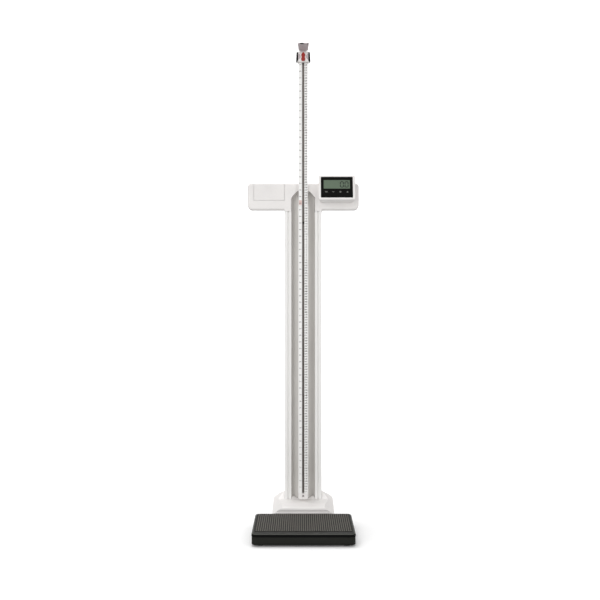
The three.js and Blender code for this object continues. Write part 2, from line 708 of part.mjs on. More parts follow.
function housingSolid(inset, front) {
  const frontOutline = roundedRectangle(
    both(head.half - inset), [inset, head.height - inset], head.corner - inset / 2,
  );
  const rearOutline = roundedRectangle(
    both(head.rearHalf - inset), [head.rearBottom + inset, head.rearTop - inset], head.rearCorner - inset / 2,
  );
  const rearY = crossbar.front - GAP - inset;
  const frontRing = frontOutline.map((point) => onFace(point.x, front, point.y));
  const rearRing = rearOutline.map((point) => new THREE.Vector3(head.x + point.x, rearY, point.y));
  return loft([rearRing, frontRing]);
}

function displayHousing() {
  const cableHole = bar(
    'y', [head.x, cable.outletZ], cable.radius + cable.room, span(crossbar.front, BEYOND / 2),
  );
  return cut(housingSolid(0, head.bezelDepth + GAP), housingSolid(head.wall, head.bezelDepth), cableHole);
}

function displayBezel() {
  const outline = roundedRectangle(both(head.half), [0, head.height], head.corner);
  const plate = prism('y', outline, [0, head.bezelDepth + BEYOND], { bevel: head.bezelRound });
  const rear = block(both(FAR), [head.bezelDepth, FAR], both(FAR));
  const opening = block(both(panel.half + GAP), both(BEYOND), [panel.bottom - GAP, panel.top + GAP]);
  return cut(plate, rear, opening);
}

const keyCentres = Array.from({ length: keys.count }, (_, i) => (i - (keys.count - 1) / 2) * keys.pitch);

function displayPanel() {
  const outline = roundedRectangle(both(panel.half), [panel.bottom, panel.top], panel.corner);
  const window = roundedRectangle(both(lcd.half), [lcd.bottom, lcd.top], lcd.corner);
  const keyHoles = keyCentres.map((x) => roundedRectangle(
    span(x, keys.half), span(keys.level, keys.halfHeight), keys.corner,
  ));
  return prism('y', outline, [panel.front, panel.front + panel.thick], { holes: [window, ...keyHoles] });
}

function lcdModule() {
  const behind = panel.front + panel.thick + GAP;
  return join(
    block(both(lcd.half - GAP), [lcd.front, behind + OVERLAP], [lcd.bottom + GAP, lcd.top - GAP]),
    block(both(lcd.half + lcd.lip), [behind, lcd.rear], [lcd.bottom - lcd.lip, lcd.top + lcd.lip]),
  );
}

function keyCap() {
  const behind = panel.front + panel.thick + GAP;
  const capOutline = roundedRectangle(both(keys.half - GAP), both(keys.halfHeight - GAP), keys.corner - GAP);
  const flange = block(
    both(keys.half + keys.flange), [behind, keys.rear], both(keys.halfHeight + keys.flange),
  );
  return join(prism('y', capOutline, [keys.front, behind + OVERLAP]), flange);
}

function displayBoard() {
  return block(both(board.half), [board.front, board.front + board.thick], [board.bottom, board.top]);
}

add('display_housing', displayHousing(), whitePlastic);
add('display_bezel', displayBezel(), whitePlastic, face);
add('display_panel', displayPanel(), blackGloss, face);
add('lcd_module', lcdModule(), lcdGlass, face);
add('display_board', displayBoard(), greenBoard, face);
keyCentres.forEach((x, i) => {
  add(`key_${i + 1}`, keyCap(), blackGloss, face).position.set(x, 0, keys.level);
});

// ---------------------------------------------------------------- signal cable

// From the junction board, up inside the right column profile and out into the display head.
function signalCable() {
  const at = (x, y, z) => new THREE.Vector3(x, y, z);
  const { ductBottom, ductTop, ductTurn, bend } = cable;
  const duct = (z) => at(cable.x, cable.y, z);
  const outlet = (inside) => at(head.x, crossbar.front + inside, cable.outletZ);
  const onBoard = junction.bottom + junction.thick + cable.radius + GAP;
  const solder = at(junction.half - 8, junction.rear - 10, onBoard);
  const stretches = [
    [solder, at(30, 216, onBoard), duct(ductBottom)],
    [duct(ductBottom), duct((ductBottom + ductTop) / 2), duct(ductTop)],
    [duct(ductTop), duct(ductTurn), at(...bend)],
    [at(...bend), outlet(26), outlet(12)],
    [outlet(12), outlet(2), outlet(-8)],
  ];
  const route = new THREE.CurvePath();
  for (const [start, turn, end] of stretches) {
    route.add(new THREE.QuadraticBezierCurve3(start, turn, end));
  }
  const section = new THREE.Shape(circle(0, 0, cable.radius, cable.sides));
  return new THREE.ExtrudeGeometry(section, { steps: cable.steps, extrudePath: route });
}

add('signal_cable', signalCable(), blackPlastic);

// ---------------------------------------------------------------- measuring rod

// Channel with a groove down its front; depths are measured from the front face of the outer one.
function channelOutline(half, [front, rear]) {
  const inside = half - rod.wall;
  return [
    [-rod.grooveHalf, front], [-rod.grooveHalf, front + rod.wall], [-inside, front + rod.wall],
    [-inside, rear - rod.wall], [inside, rear - rod.wall], [inside, front + rod.wall],
    [rod.grooveHalf, front + rod.wall], [rod.grooveHalf, front], [half, front], [half, rear],
    [-half, rear], [-half, front],
  ].map(([x, y]) => vector(x, y));
}

const outerDepth = [rod.front, rod.front + rod.depth];
const innerDepth = [rod.front + rod.wall + GAP, rod.front + rod.depth - rod.wall - GAP];

function rodEndCap() {
  const outline = filleted([
    [-rod.half, rod.capBottom, rod.capCorner], [rod.half, rod.capBottom, rod.capCorner],
    [rod.half, rod.outerBottom - GAP], [-rod.half, rod.outerBottom - GAP],
  ]);
  const seat = bar(
    'y', [0, rod.screwLevel], rod.screwRadius + GAP, [rod.front - BEYOND, rod.front + rod.screwDepth],
  );
  return cut(prism('y', outline, outerDepth), seat);
}

function rodEndScrew() {
  return bar(
    'y', [0, rod.screwLevel], rod.screwRadius, [rod.front - rod.screwProud, rod.front + rod.screwDepth - GAP],
  );
}

function rodTopCap() {
  const bottom = rod.innerTop + GAP;
  return block(both(rod.innerHalf), innerDepth, [bottom, bottom + rod.topCap]);
}

function rodDetent() {
  const rear = innerDepth[1] - rod.wall - GAP;
  return bar('y', [0, rod.detentLevel], rod.detentRadius, [rear - rod.detentLength, rear]);
}

function rodHolder() {
  const front = rod.front + rod.depth + GAP;
  const rear = column.webFront - GAP;
  const { half, neckHalf, footHalf, flange, height, edgeRound, neckRound } = rodBracket;
  const corners = [
    [half, front], [half, front + flange, edgeRound], [neckHalf, front + flange, neckRound],
    [neckHalf, rear - flange, neckRound], [footHalf, rear - flange, edgeRound], [footHalf, rear],
  ];
  return prism('z', filleted([...corners, ...mirroredCorners(corners)]), both(height / 2));
}

add(
  'rod_outer', prism('z', channelOutline(rod.half, outerDepth), [rod.outerBottom, rod.outerTop]), whiteMetal,
);
add(
  'rod_inner', prism('z', channelOutline(rod.innerHalf, innerDepth), [rod.innerBottom, rod.innerTop]),
  whiteMetal,
);
add('rod_guide_cap', prism(
  'z', channelOutline(rod.half, outerDepth), [rod.outerTop + GAP, rod.outerTop + GAP + rod.guideThick],
), whitePlastic);
add('rod_end_cap', rodEndCap(), whitePlastic);
add('rod_end_screw', rodEndScrew(), zincSteel);
add('rod_top_cap', rodTopCap(), whitePlastic);
add('rod_detent_button', rodDetent(), darkSteel);
for (const [name, level] of Object.entries(rodBracket.levels)) {
  add(`rod_bracket_${name}`, rodHolder(), greyMetal).position.z = level;
}

// ---------------------------------------------------------------- head slide

function catchOutline(grow) {
  const c = catchKnob;
  const right = [
    [c.footHalf + grow, c.bottom - grow, c.footRound], [c.lowerHalf + grow, c.lower, c.sideRound],
    [c.waistHalf + grow, c.waist, c.waistRound], [c.upperHalf + grow, c.upper, c.sideRound],
  ];
  return filleted([...right, [0, c.tip + grow, c.tipRound], ...mirroredCorners(right)]);
}

function hingeLug([x0, x1]) {
  const { axisY, axisZ } = tongue;
  const plate = prism('x', filleted([
    [slide.front + OVERLAP, hinge.lugFoot], [slide.front + OVERLAP, axisZ], [axisY, axisZ + hinge.lugRadius],
    [axisY, axisZ - hinge.lugRadius],
  ]), [x0, x1]);
  const eye = bar('x', [axisY, axisZ], hinge.lugRadius, [x0, x1]);
  return join(plate, eye);
}

function slideBody() {
  const { half, front, boreHalf, boreFront, boreRear, lipHalf, lipRear, corner, edgeRound } = slide;
  const right = [
    [half, front, corner], [half, lipRear, edgeRound], [lipHalf, lipRear, edgeRound], [lipHalf, boreRear],
    [boreHalf, boreRear], [boreHalf, boreFront],
  ];
  const outline = filleted([...right, ...mirroredCorners(right)]);
  const body = join(
    prism('z', outline, [slide.bottom, slide.top]),
    hingeLug([hinge.lugInner, hinge.lugOuter]), hingeLug([-hinge.lugOuter, -hinge.lugInner]),
  );
  const c = catchKnob;
  const knobSeat = prism('y', catchOutline(c.room), [front - BEYOND, c.front + c.depth + c.travel + GAP]);
  const springSeat = bar('y', [0, c.stemLevel], c.springRoom, [c.front, c.stemRear + c.travel + GAP]);
  const keySeat = block(
    both(guideKey.headHalf + GAP), [guideKey.headFront - GAP, boreFront + OVERLAP],
    [guideKey.bottom - GAP, guideKey.top + GAP],
  );
  const pinHole = bar('x', [tongue.axisY, tongue.axisZ], hinge.pinRadius + GAP, both(half));
  return cut(body, knobSeat, springSeat, keySeat, pinHole);
}

function slideGuideKey() {
  const heights = [guideKey.bottom, guideKey.top];
  return join(
    block(both(guideKey.headHalf), [guideKey.headFront, slide.boreFront - GAP], heights),
    block(both(guideKey.half), [slide.boreFront - GAP - OVERLAP, guideKey.rear], heights),
  );
}

// Ribbed finger grip, wider at its lower end.
function slideGrip(side) {
  const inner = slide.half + GAP;
  const reachAt = (share) => inner + THREE.MathUtils.lerp(grip.bottomReach, grip.topReach, share);
  const outside = [];
  for (let i = 0; i <= 2 * grip.ribs; i += 1) {
    const share = i / (2 * grip.ribs);
    const z = THREE.MathUtils.lerp(grip.bottom, grip.top, share);
    outside.push(vector(reachAt(share) - (i % 2 === 0 ? 0 : grip.rib), z));
  }
  const outline = [vector(inner, grip.bottom), ...outside, vector(inner, grip.top)];
  return prism('y', side > 0 ? outline : mirrored(outline), [grip.front, grip.rear]);
}

function slideCatch() {
  const c = catchKnob;
  return join(
    prism('y', catchOutline(0), [c.front, c.front + c.depth]),
    bar('y', [0, c.stemLevel], c.stemRadius, [c.front + c.depth - OVERLAP, c.stemRear]),
  );
}

function catchSpring() {
  class Helix extends THREE.Curve {
    getPoint(t, target = new THREE.Vector3()) {
      const angle = t * spring.turns * 2 * Math.PI;
      return target.set(spring.radius * Math.cos(angle), t * spring.length, spring.radius * Math.sin(angle));
    }
  }
  const section = new THREE.Shape(circle(0, 0, spring.wire, spring.sides));
  const coil = new THREE.ExtrudeGeometry(section, {
    steps: spring.turns * spring.stepsPerTurn, extrudePath: new Helix(),
  });
  const start = catchKnob.front + catchKnob.depth + spring.wire + GAP;
  return coil.translate(0, start, catchKnob.stemLevel);
}

function tongueBody() {
  const { axisY, axisZ, halfThick, front, rearHalf, frontHalf, neckHalf, barrelRadius, reach } = tongue;
  const rear = axisY - reach;
  const plate = prism('z', filleted([
    [-frontHalf, front, tongue.corner], [frontHalf, front, tongue.corner],
    [rearHalf, rear, tongue.rearCorner],
    [neckHalf, rear], [neckHalf, axisY], [-neckHalf, axisY], [-neckHalf, rear],
    [-rearHalf, rear, tongue.rearCorner],
  ]), [axisZ - halfThick, axisZ + halfThick]);
  const barrel = bar('x', [axisY, axisZ], barrelRadius, both(neckHalf));
  const pinHole = bar('x', [axisY, axisZ], hinge.pinRadius + GAP, both(neckHalf + OVERLAP));
  const along = [front + tongue.grooveMargin, rear - tongue.grooveMargin];
  const floor = axisZ - halfThick;
  const grooves = Array.from({ length: tongue.grooves }, (_, i) => {
    const x = (i - (tongue.grooves - 1) / 2) * tongue.groovePitch;
    return block(span(x, tongue.grooveWidth / 2), along, [floor - OVERLAP, floor + tongue.grooveDepth]);
  });
  return cut(join(plate, barrel), pinHole, ...grooves);
}

add('slide_body', slideBody(), whitePlastic);
add('slide_guide_key', slideGuideKey(), blackPlastic);
for (const [name, side] of sides) {
  add(`slide_grip_${name}`, slideGrip(side), blackRubber);
}
add('slide_catch', slideCatch(), redPlastic);
add('catch_spring', catchSpring(), zincSteel);
add('tongue', tongueBody(), greyPlastic);
add('tongue_pin', bar('x', [tongue.axisY, tongue.axisZ], hinge.pinRadius, both(hinge.pinHalf)), zincSteel);

export default scale;
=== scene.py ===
"""Looks of a column weighing scale with a height rod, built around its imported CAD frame.

Shapes are written in millimetres in the row's frame and turned into metres when a mesh is made.
"""

import json
from math import atan2, ceil, cos, floor, pi, radians, sin, tan

import bmesh
import bpy
from mathutils import Matrix, Vector

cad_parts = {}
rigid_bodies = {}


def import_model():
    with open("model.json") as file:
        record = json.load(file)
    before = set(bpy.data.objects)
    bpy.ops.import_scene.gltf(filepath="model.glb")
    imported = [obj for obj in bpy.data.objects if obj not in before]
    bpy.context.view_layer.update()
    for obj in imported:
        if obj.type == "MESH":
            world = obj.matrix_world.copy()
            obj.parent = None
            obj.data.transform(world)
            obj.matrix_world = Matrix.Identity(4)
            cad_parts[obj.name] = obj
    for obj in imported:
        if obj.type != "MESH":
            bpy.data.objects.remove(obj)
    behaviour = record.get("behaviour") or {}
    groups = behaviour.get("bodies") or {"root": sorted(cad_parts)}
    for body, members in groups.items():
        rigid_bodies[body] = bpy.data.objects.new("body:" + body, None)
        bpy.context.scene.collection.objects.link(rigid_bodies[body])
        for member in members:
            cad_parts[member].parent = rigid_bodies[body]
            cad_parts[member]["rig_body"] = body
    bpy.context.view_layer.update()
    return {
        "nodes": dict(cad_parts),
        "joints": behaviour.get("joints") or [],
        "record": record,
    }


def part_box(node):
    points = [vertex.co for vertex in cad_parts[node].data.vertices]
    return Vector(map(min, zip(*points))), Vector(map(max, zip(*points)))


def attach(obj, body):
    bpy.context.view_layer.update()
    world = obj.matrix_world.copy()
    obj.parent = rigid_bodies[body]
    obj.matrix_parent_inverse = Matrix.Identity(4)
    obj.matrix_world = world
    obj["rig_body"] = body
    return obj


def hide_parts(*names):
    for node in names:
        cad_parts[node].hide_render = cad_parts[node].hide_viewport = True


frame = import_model()

MM = 0.001
SMOOTH_DEGREES = 34
CRISP_DEGREES = 50


# ---- places from the frame


def corners(node):
    """Lowest and highest corner of a CAD node, in millimetres."""
    low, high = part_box(node)
    return Vector(low) / MM, Vector(high) / MM


PAN_LOW, PAN_HIGH = corners("platform_pan")
MAT_LOW, MAT_HIGH = corners("platform_mat")
COVER_LOW, COVER_HIGH = corners("base_cover")
PROFILE_LOW, PROFILE_HIGH = corners("column_profile_right")
ARMS_LOW, ARMS_HIGH = corners("crossbar_front_cover")
BACK_HIGH = corners("crossbar_rear_cover")[1]
OUTER_LOW, OUTER_HIGH = corners("rod_outer")
INNER_LOW, INNER_HIGH = corners("rod_inner")
SLIDE_LOW = corners("slide_body")[0]
RIB_HEIGHT = 1.5


# ---- outlines


def filleted(points, steps=6):
    """A polygon of (x, y, radius) corners with each corner rounded by its radius."""
    result = []
    count = len(points)
    for i, corner in enumerate(points):
        here = Vector(corner[:2])
        radius = corner[2] if len(corner) > 2 else 0.0
        if radius <= 0:
            result.append(here)
            continue
        before = (Vector(points[i - 1][:2]) - here).normalized()
        after = (Vector(points[(i + 1) % count][:2]) - here).normalized()
        half = before.angle(after) / 2
        centre = here + (before + after).normalized() * (radius / sin(half))
        start = here + before * (radius / tan(half)) - centre
        end = here + after * (radius / tan(half)) - centre
        sweep = atan2(start.x * end.y - start.y * end.x, start.dot(end))
        for step in range(steps + 1):
            turned = start.copy()
            turned.rotate(Matrix.Rotation(sweep * step / steps, 2))
            result.append(centre + turned)
    return result


def oblong(x, y, radius, steps=6, upper=None):
    """A rectangle with rounded corners; the upper two may have a radius of their own."""
    if upper is None:
        upper = radius
    lower_corners = [(x[0], y[0], radius), (x[1], y[0], radius)]
    upper_corners = [(x[1], y[1], upper), (x[0], y[1], upper)]
    return filleted(lower_corners + upper_corners, steps)


def circle(x, y, radius, count=32):
    angles = [2 * pi * i / count for i in range(count)]
    return [Vector((x + radius * cos(a), y + radius * sin(a))) for a in angles]


def mirrored(points):
    return [(-p[0], *p[1:]) for p in reversed(points)]


def on_side(side, points):
    """An outline as drawn for side 1, or its mirror image for side -1."""
    return [(side * p[0], p[1]) for p in points]


def both(half):
    return (-half, half)


def span(middle, half):
    return (middle - half, middle + half)


# ---- meshes

PLACE = {
    "x": lambda u, v, w: (w, u, v),
    "y": lambda u, v, w: (u, w, v),
    "z": lambda u, v, w: (u, v, w),
}


def added(name, data):
    """A new object in the scene."""
    obj = bpy.data.objects.new(name, data)
    bpy.context.scene.collection.objects.link(obj)
    return obj


def to_object(name, bm):
    bmesh.ops.recalc_face_normals(bm, faces=bm.faces)
    bmesh.ops.scale(bm, vec=(MM, MM, MM), verts=bm.verts)
    mesh = bpy.data.meshes.new(name)
    bm.to_mesh(mesh)
    bm.free()
    return added(name, mesh)


def ring_solid(name, rings):
    """A closed skin over rings of the same number of points, with a flat cap at each end."""
    bm = bmesh.new()
    loops = [[bm.verts.new(p) for p in ring] for ring in rings]
    for low, high in zip(loops, loops[1:]):
        for i in range(len(low)):
            bm.faces.new((low[i - 1], low[i], high[i], high[i - 1]))
    bm.faces.new(reversed(loops[0]))
    bm.faces.new(loops[-1])
    return to_object(name, bm)


def prism(name, axis, outline, ends):
    """An outline pushed along an axis; its points are (y, z), (x, z) or (x, y)."""
    rings = [[PLACE[axis](p[0], p[1], w) for p in outline] for w in ends]
    return ring_solid(name, rings)


def block(name, x, y, z):
    return prism(name, "z", [(x[0], y[0]), (x[1], y[0]), (x[1], y[1]), (x[0], y[1])], z)


def slab(name, x, z, radius, y, steps=6):
    """A plate that faces the front, with rounded corners."""
    return prism(name, "y", oblong(x, z, radius, steps), y)


def bar(name, axis, centre, radius, ends, count=32):
    return prism(name, axis, circle(*centre, radius, count), ends)


def ring_around(centre, first, second, radius, sides):
    """A circle of points about a centre, in the plane of two unit vectors."""
    angles = [2 * pi * i / sides for i in range(sides)]
    return [centre + radius * (first * cos(a) + second * sin(a)) for a in angles]


def turned(name, axis, centre, profile, count=48):
    """A profile of (radius, height) points turned about an axis, closed on itself."""
    bm = bmesh.new()
    loops = []
    for i in range(count):
        a = 2 * pi * i / count
        loops.append([
            bm.verts.new(PLACE[axis](centre[0] + r * cos(a), centre[1] + r * sin(a), h))
            for r, h in profile
        ])
    for i in range(count):
        low, high = loops[i - 1], loops[i]
        for j in range(len(profile)):
            bm.faces.new((low[j - 1], low[j], high[j], high[j - 1]))
    bmesh.ops.remove_doubles(bm, verts=bm.verts, dist=1e-4)
    return to_object(name, bm)


def baked(obj):
    """Turns an object's modifiers into its mesh."""
    graph = bpy.context.evaluated_depsgraph_get()
    mesh = bpy.data.meshes.new_from_object(obj.evaluated_get(graph))
    old = obj.data
    obj.modifiers.clear()
    obj.data = mesh
    bpy.data.meshes.remove(old)
    return obj


def combine(obj, operation, *tools):
    for tool in tools:
        modifier = obj.modifiers.new("combine", "BOOLEAN")
        modifier.operation = operation
        modifier.solver = "EXACT"
        modifier.object = tool
        baked(obj)
        bpy.data.objects.remove(tool)
    return obj


def cut(obj, *tools):
    return combine(obj, "DIFFERENCE", *tools)


def join(obj, *tools):
    return combine(obj, "UNION", *tools)


def common(obj, *tools):
    return combine(obj, "INTERSECT", *tools)


def rounded(obj, width, segments=3, degrees=CRISP_DEGREES):
    """Rounds every edge where the surface turns by more than the angle."""
    modifier = obj.modifiers.new("rounded", "BEVEL")
    modifier.width = width * MM
    modifier.segments = segments
    modifier.limit_method = "ANGLE"
    modifier.angle_limit = radians(degrees)
    modifier.use_clamp_overlap = True
    return baked(obj)


def shaded(obj):
    """Smooth shading that keeps flat faces flat and sharp edges crisp."""
    limit = radians(SMOOTH_DEGREES)
    bm = bmesh.new()
    bm.from_mesh(obj.data)
    for face in bm.faces:
        face.smooth = True
    for edge in bm.edges:
        edge.smooth = len(edge.link_faces) == 2 and edge.calc_face_angle(0) < limit
    bm.to_mesh(obj.data)
    bm.free()
    modifier = obj.modifiers.new("weighted", "WEIGHTED_NORMAL")
    modifier.keep_sharp = True
    return baked(obj)


def joined(name, objects):
    """One object from several, each staying its own closed shell."""
    bm = bmesh.new()
    for obj in objects:
        bm.from_mesh(obj.data)
        bpy.data.objects.remove(obj)
    mesh = bpy.data.meshes.new(name)
    bm.to_mesh(mesh)
    bm.free()
    return added(name, mesh)


def moved(obj, matrix):
    obj.data.transform(matrix)
    return obj


# ---- materials


def linear(red, green, blue):
    """A display colour from 0 to 255 as the renderer's linear colour."""
    channels = []
    for value in (red, green, blue):
        share = value / 255
        if share <= 0.04045:
            channels.append(share / 12.92)
        else:
            channels.append(((share + 0.055) / 1.055) ** 2.4)
    return (*channels, 1.0)


class Shader:
    """A material's node tree with its Principled shader and object coordinates at hand."""

    def __init__(self, name):
        self.name = name
        self.material = bpy.data.materials.new(name)
        self.material.use_nodes = True
        self.tree = self.material.node_tree
        self.surface = self.tree.nodes["Principled BSDF"]
        self.coordinates = self.tree.nodes.new("ShaderNodeTexCoord").outputs["Object"]

    def node(self, kind, **settings):
        made = self.tree.nodes.new(kind)
        for key, value in settings.items():
            setattr(made, key, value)
        return made

    def link(self, source, target):
        self.tree.links.new(source, target)

    def give(self, **links):
        """Links values to the shader's sockets, each named in capitals with underscores for spaces."""
        for name, source in links.items():
            self.link(source, self.surface.inputs[name.replace("_", " ")])

    def fix(self, name, value):
        self.surface.inputs[name].default_value = value

    def finished(self):
        """The name asked for, with the material: Blender numbers a name that the frame already uses."""
        return self.name, self.material

    def stretched(self, scale):
        mapping = self.node("ShaderNodeMapping")
        mapping.inputs["Scale"].default_value = scale
        self.link(self.coordinates, mapping.inputs["Vector"])
        return mapping.outputs["Vector"]

    def noise(self, size, detail=3.0, scale=(1, 1, 1)):
        """Noise whose features are about as big as the size in millimetres."""
        texture = self.node("ShaderNodeTexNoise")
        texture.inputs["Scale"].default_value = 1 / (size * MM)
        texture.inputs["Detail"].default_value = detail
        source = self.coordinates if scale == (1, 1, 1) else self.stretched(scale)
        self.link(source, texture.inputs["Vector"])
        return texture.outputs["Fac"]

    def ramp(self, source, low, high, start=0.3, stop=0.7):
        """Maps a grey value between two numbers."""
        node = self.node("ShaderNodeMapRange")
        for key, value in (("From Min", start), ("From Max", stop), ("To Min", low), ("To Max", high)):
            node.inputs[key].default_value = value
        self.link(source, node.inputs["Value"])
        return node.outputs["Result"]

    def mix(self, factor, first, second):
        node = self.node("ShaderNodeMix", data_type="RGBA")
        self.link(factor, node.inputs["Factor"])
        for value, socket in ((first, node.inputs["A"]), (second, node.inputs["B"])):
            if isinstance(value, tuple):
                socket.default_value = value
            else:
                self.link(value, socket)
        return node.outputs["Result"]

    def bump(self, *heights):
        """Bumps laid over each other, each a (value, strength, depth in millimetres)."""
        normal = None
        for value, strength, depth in heights:
            node = self.node("ShaderNodeBump")
            node.inputs["Strength"].default_value = strength
            node.inputs["Distance"].default_value = depth * MM
            self.link(value, node.inputs["Height"])
            if normal is not None:
                self.link(normal, node.inputs["Normal"])
            normal = node.outputs["Normal"]
        self.give(Normal=normal)


def shade_of(colour, factor):
    return tuple(min(c * factor, 1.0) for c in colour[:3]) + (1.0,)


def moulded(
    name, colour, roughness, *, grain=0.35, depth=0.03, spread=0.05, mottle=0.03, coat=0.0, specular=0.5,
):
    """Moulded plastic: spark-eroded grain, faint flow marks and uneven gloss."""
    shader = Shader(name)
    broad = shader.noise(90, 4)
    fine = shader.noise(grain, 2)
    base = shader.mix(shader.ramp(broad, 0, 1), shade_of(colour, 1 - mottle), shade_of(colour, 1 + mottle))
    shader.give(Base_Color=base)
    smudge = shader.ramp(shader.noise(25, 5), roughness - spread, roughness + spread)
    shader.give(Roughness=smudge)
    shader.bump((shader.noise(60, 2), 0.25, 0.05), (fine, 0.5, depth))
    shader.fix("Specular IOR Level", specular)
    shader.fix("Coat Weight", coat)
    shader.fix("Coat Roughness", 0.12)
    return shader.finished()


def powder_coated(name, colour, roughness, *, metallic=0.0, peel=1.6, depth=0.05):
    """Powder coat on metal: orange peel with a fine speckle and a faint drift of tone."""
    shader = Shader(name)
    speckle = shader.ramp(shader.noise(0.5, 2), 0, 1, 0.42, 0.6)
    drift = shader.ramp(shader.noise(160, 3, (1, 1, 0.3)), 0, 1)
    base = shader.mix(speckle, shade_of(colour, 0.96), colour)
    toned = shader.mix(drift, base, shade_of(colour, 0.95))
    shader.give(Base_Color=toned)
    gloss = shader.ramp(shader.noise(40, 4), roughness - 0.05, roughness + 0.06)
    shader.give(Roughness=gloss)
    shader.fix("Metallic", metallic)
    shader.bump((shader.noise(peel, 2), 0.3, depth), (shader.noise(0.3, 1), 0.2, 0.01))
    return shader.finished()


def brushed(name, colour, roughness, grain_scale, *, spangle=0.0):
    """Bare metal with a directional grain; spangle adds the patches of a zinc plating."""
    shader = Shader(name)
    streak = shader.noise(0.25, 3, grain_scale)
    patches = shader.ramp(shader.noise(6, 1), 1 - spangle, 1 + spangle)
    tone = shader.node("ShaderNodeMix", data_type="RGBA", blend_type="MULTIPLY")
    tone.inputs["Factor"].default_value = 1.0
    streaked = shader.mix(shader.ramp(streak, 0, 1), shade_of(colour, 0.86), colour)
    shader.link(streaked, tone.inputs["A"])
    shader.link(patches, tone.inputs["B"])
    shader.give(Base_Color=tone.outputs["Result"])
    shader.give(Roughness=shader.ramp(streak, roughness - 0.07, roughness + 0.09))
    shader.fix("Metallic", 1.0)
    shader.bump((streak, 0.25, 0.01))
    return shader.finished()


def rubber(name, colour, roughness=0.72, dust=0.35):
    """Rubber: a dull skin with pale dust in broad patches and a fine pitted grain."""
    shader = Shader(name)
    patch = shader.ramp(shader.noise(45, 5), 0, dust, 0.45, 0.75)
    pits = shader.ramp(shader.noise(0.7, 3), 0, 1, 0.35, 0.65)
    base = shader.mix(pits, shade_of(colour, 0.8), shade_of(colour, 1.15))
    dusty = shader.mix(patch, base, shade_of(colour, 1.7))
    shader.give(Base_Color=dusty)
    shader.give(Roughness=shader.ramp(pits, roughness - 0.08, roughness + 0.08, 0, 1))
    shader.fix("Specular IOR Level", 0.1)
    shader.bump((shader.noise(0.6, 3), 0.6, 0.06))
    return shader.finished()


def ribbed(name, colour, valley, crest):
    """Ribbed rubber with painted shade: the colour darkens from the crests down into the valleys, by height
    in millimetres.
    """
    shader = Shader(name)
    split = shader.node("ShaderNodeSeparateXYZ")
    shader.link(shader.coordinates, split.inputs["Vector"])
    # Painted shade: nearly black at the valley height, the rubber's own colour at the crest height.
    height = shader.ramp(split.outputs["Z"], 0, 1, valley * MM, crest * MM)
    pits = shader.ramp(shader.noise(0.7, 3), 0, 1, 0.35, 0.65)
    crests = shader.mix(pits, shade_of(colour, 0.9), shade_of(colour, 1.1))
    base = shader.mix(height, shade_of(colour, 0.12), crests)
    shader.give(Base_Color=base)
    shader.give(Roughness=shader.ramp(pits, 0.66, 0.8, 0, 1))
    shader.fix("Specular IOR Level", 0.2)
    shader.bump((shader.noise(0.6, 3), 0.5, 0.05))
    return shader.finished()


def circuit_board(name):
    """Solder resist with a pattern of copper tracks under it."""
    shader = Shader(name)
    tracks = shader.node("ShaderNodeTexBrick")
    tracks.inputs["Scale"].default_value = 180
    tracks.inputs["Mortar Size"].default_value = 0.03
    shader.link(shader.coordinates, tracks.inputs["Vector"])
    base = shader.mix(tracks.outputs["Fac"], linear(28, 92, 60), linear(60, 130, 84))
    shader.give(Base_Color=base)
    gloss = shader.ramp(shader.noise(8, 2), 0.28, 0.42)
    shader.give(Roughness=gloss)
    shader.bump((tracks.outputs["Fac"], 0.3, 0.04))
    return shader.finished()


MATERIALS = dict((
    moulded("white_plastic", linear(234, 231, 229), 0.42, coat=0.08),
    powder_coated("white_metal", linear(246, 245, 243), 0.36),
    powder_coated("grey_metal", linear(228, 225, 221), 0.5),
    moulded("black_plastic", linear(27, 28, 24), 0.5, grain=0.9, depth=0.08, mottle=0.12, specular=0.18),
    # A lighter grey for the skirt's raised edge: a painted highlight where the edge catches light.
    moulded("painted_highlight_edge", linear(78, 79, 74), 0.5, grain=0.9, depth=0.06, specular=0.4),
    ribbed("ribbed_rubber", linear(104, 101, 95), MAT_HIGH.z - RIB_HEIGHT, MAT_HIGH.z),
    rubber("black_rubber", linear(7, 7, 7), dust=0.1),
    powder_coated("dark_steel", linear(46, 47, 49), 0.5, peel=2.4),
    brushed("zinc_steel", linear(196, 199, 203), 0.3, (1, 1, 0.2), spangle=0.08),
    brushed("bare_aluminium", linear(205, 207, 210), 0.34, (0.08, 1, 1)),
    moulded("red_plastic", linear(158, 42, 34), 0.32, mottle=0.05, coat=0.2),
    moulded("grey_plastic", linear(186, 175, 177), 0.5, mottle=0.05),
    moulded("black_gloss", linear(9, 9, 7), 0.34, depth=0.004, spread=0.04, specular=0.12),
    moulded("lcd", linear(98, 113, 96), 0.3, depth=0.002, spread=0.04, specular=0.3),
    circuit_board("circuit_board"),
    moulded("battery_wrap", linear(96, 110, 126), 0.35, depth=0.004, coat=0.3),
    moulded("print_black", linear(58, 56, 58), 0.6, depth=0.004),
    moulded("print_grey", linear(120, 117, 118), 0.6, depth=0.004),
    moulded("print_pink", linear(224, 196, 190), 0.6, depth=0.004),
    moulded("lcd_digit", linear(24, 30, 25), 0.4, depth=0.002, specular=0.3),
    moulded("key_symbol", linear(116, 117, 112), 0.5, depth=0.004),
    # groove: a grey for the painted shade down the rod's groove, and the end screw's grey.
    moulded("groove", linear(146, 139, 135), 0.6, specular=0.3),
))
SLOTS = {row["node"]: row["material_slot"] for row in frame["record"]["subparts"]}


def dressed(obj, material):
    obj.data.materials.clear()
    obj.data.materials.append(MATERIALS[material])
    return obj


def place(obj, body, slot, material=None, replaces=()):
    """Shades a piece, gives it its material and puts it on its body."""
    dressed(shaded(obj), material or slot)
    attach(obj, body)
    if replaces:
        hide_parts(*replaces)
    return obj


def stand_in(obj, node, material=None):
    """Shows a detailed piece in a CAD node's place, on its body and with its slot."""
    return place(obj, frame["nodes"][node]["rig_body"], SLOTS[node], material, [node])


for node_name, node_object in frame["nodes"].items():
    dressed(node_object, SLOTS[node_name])


# ---- pieces taken from the frame


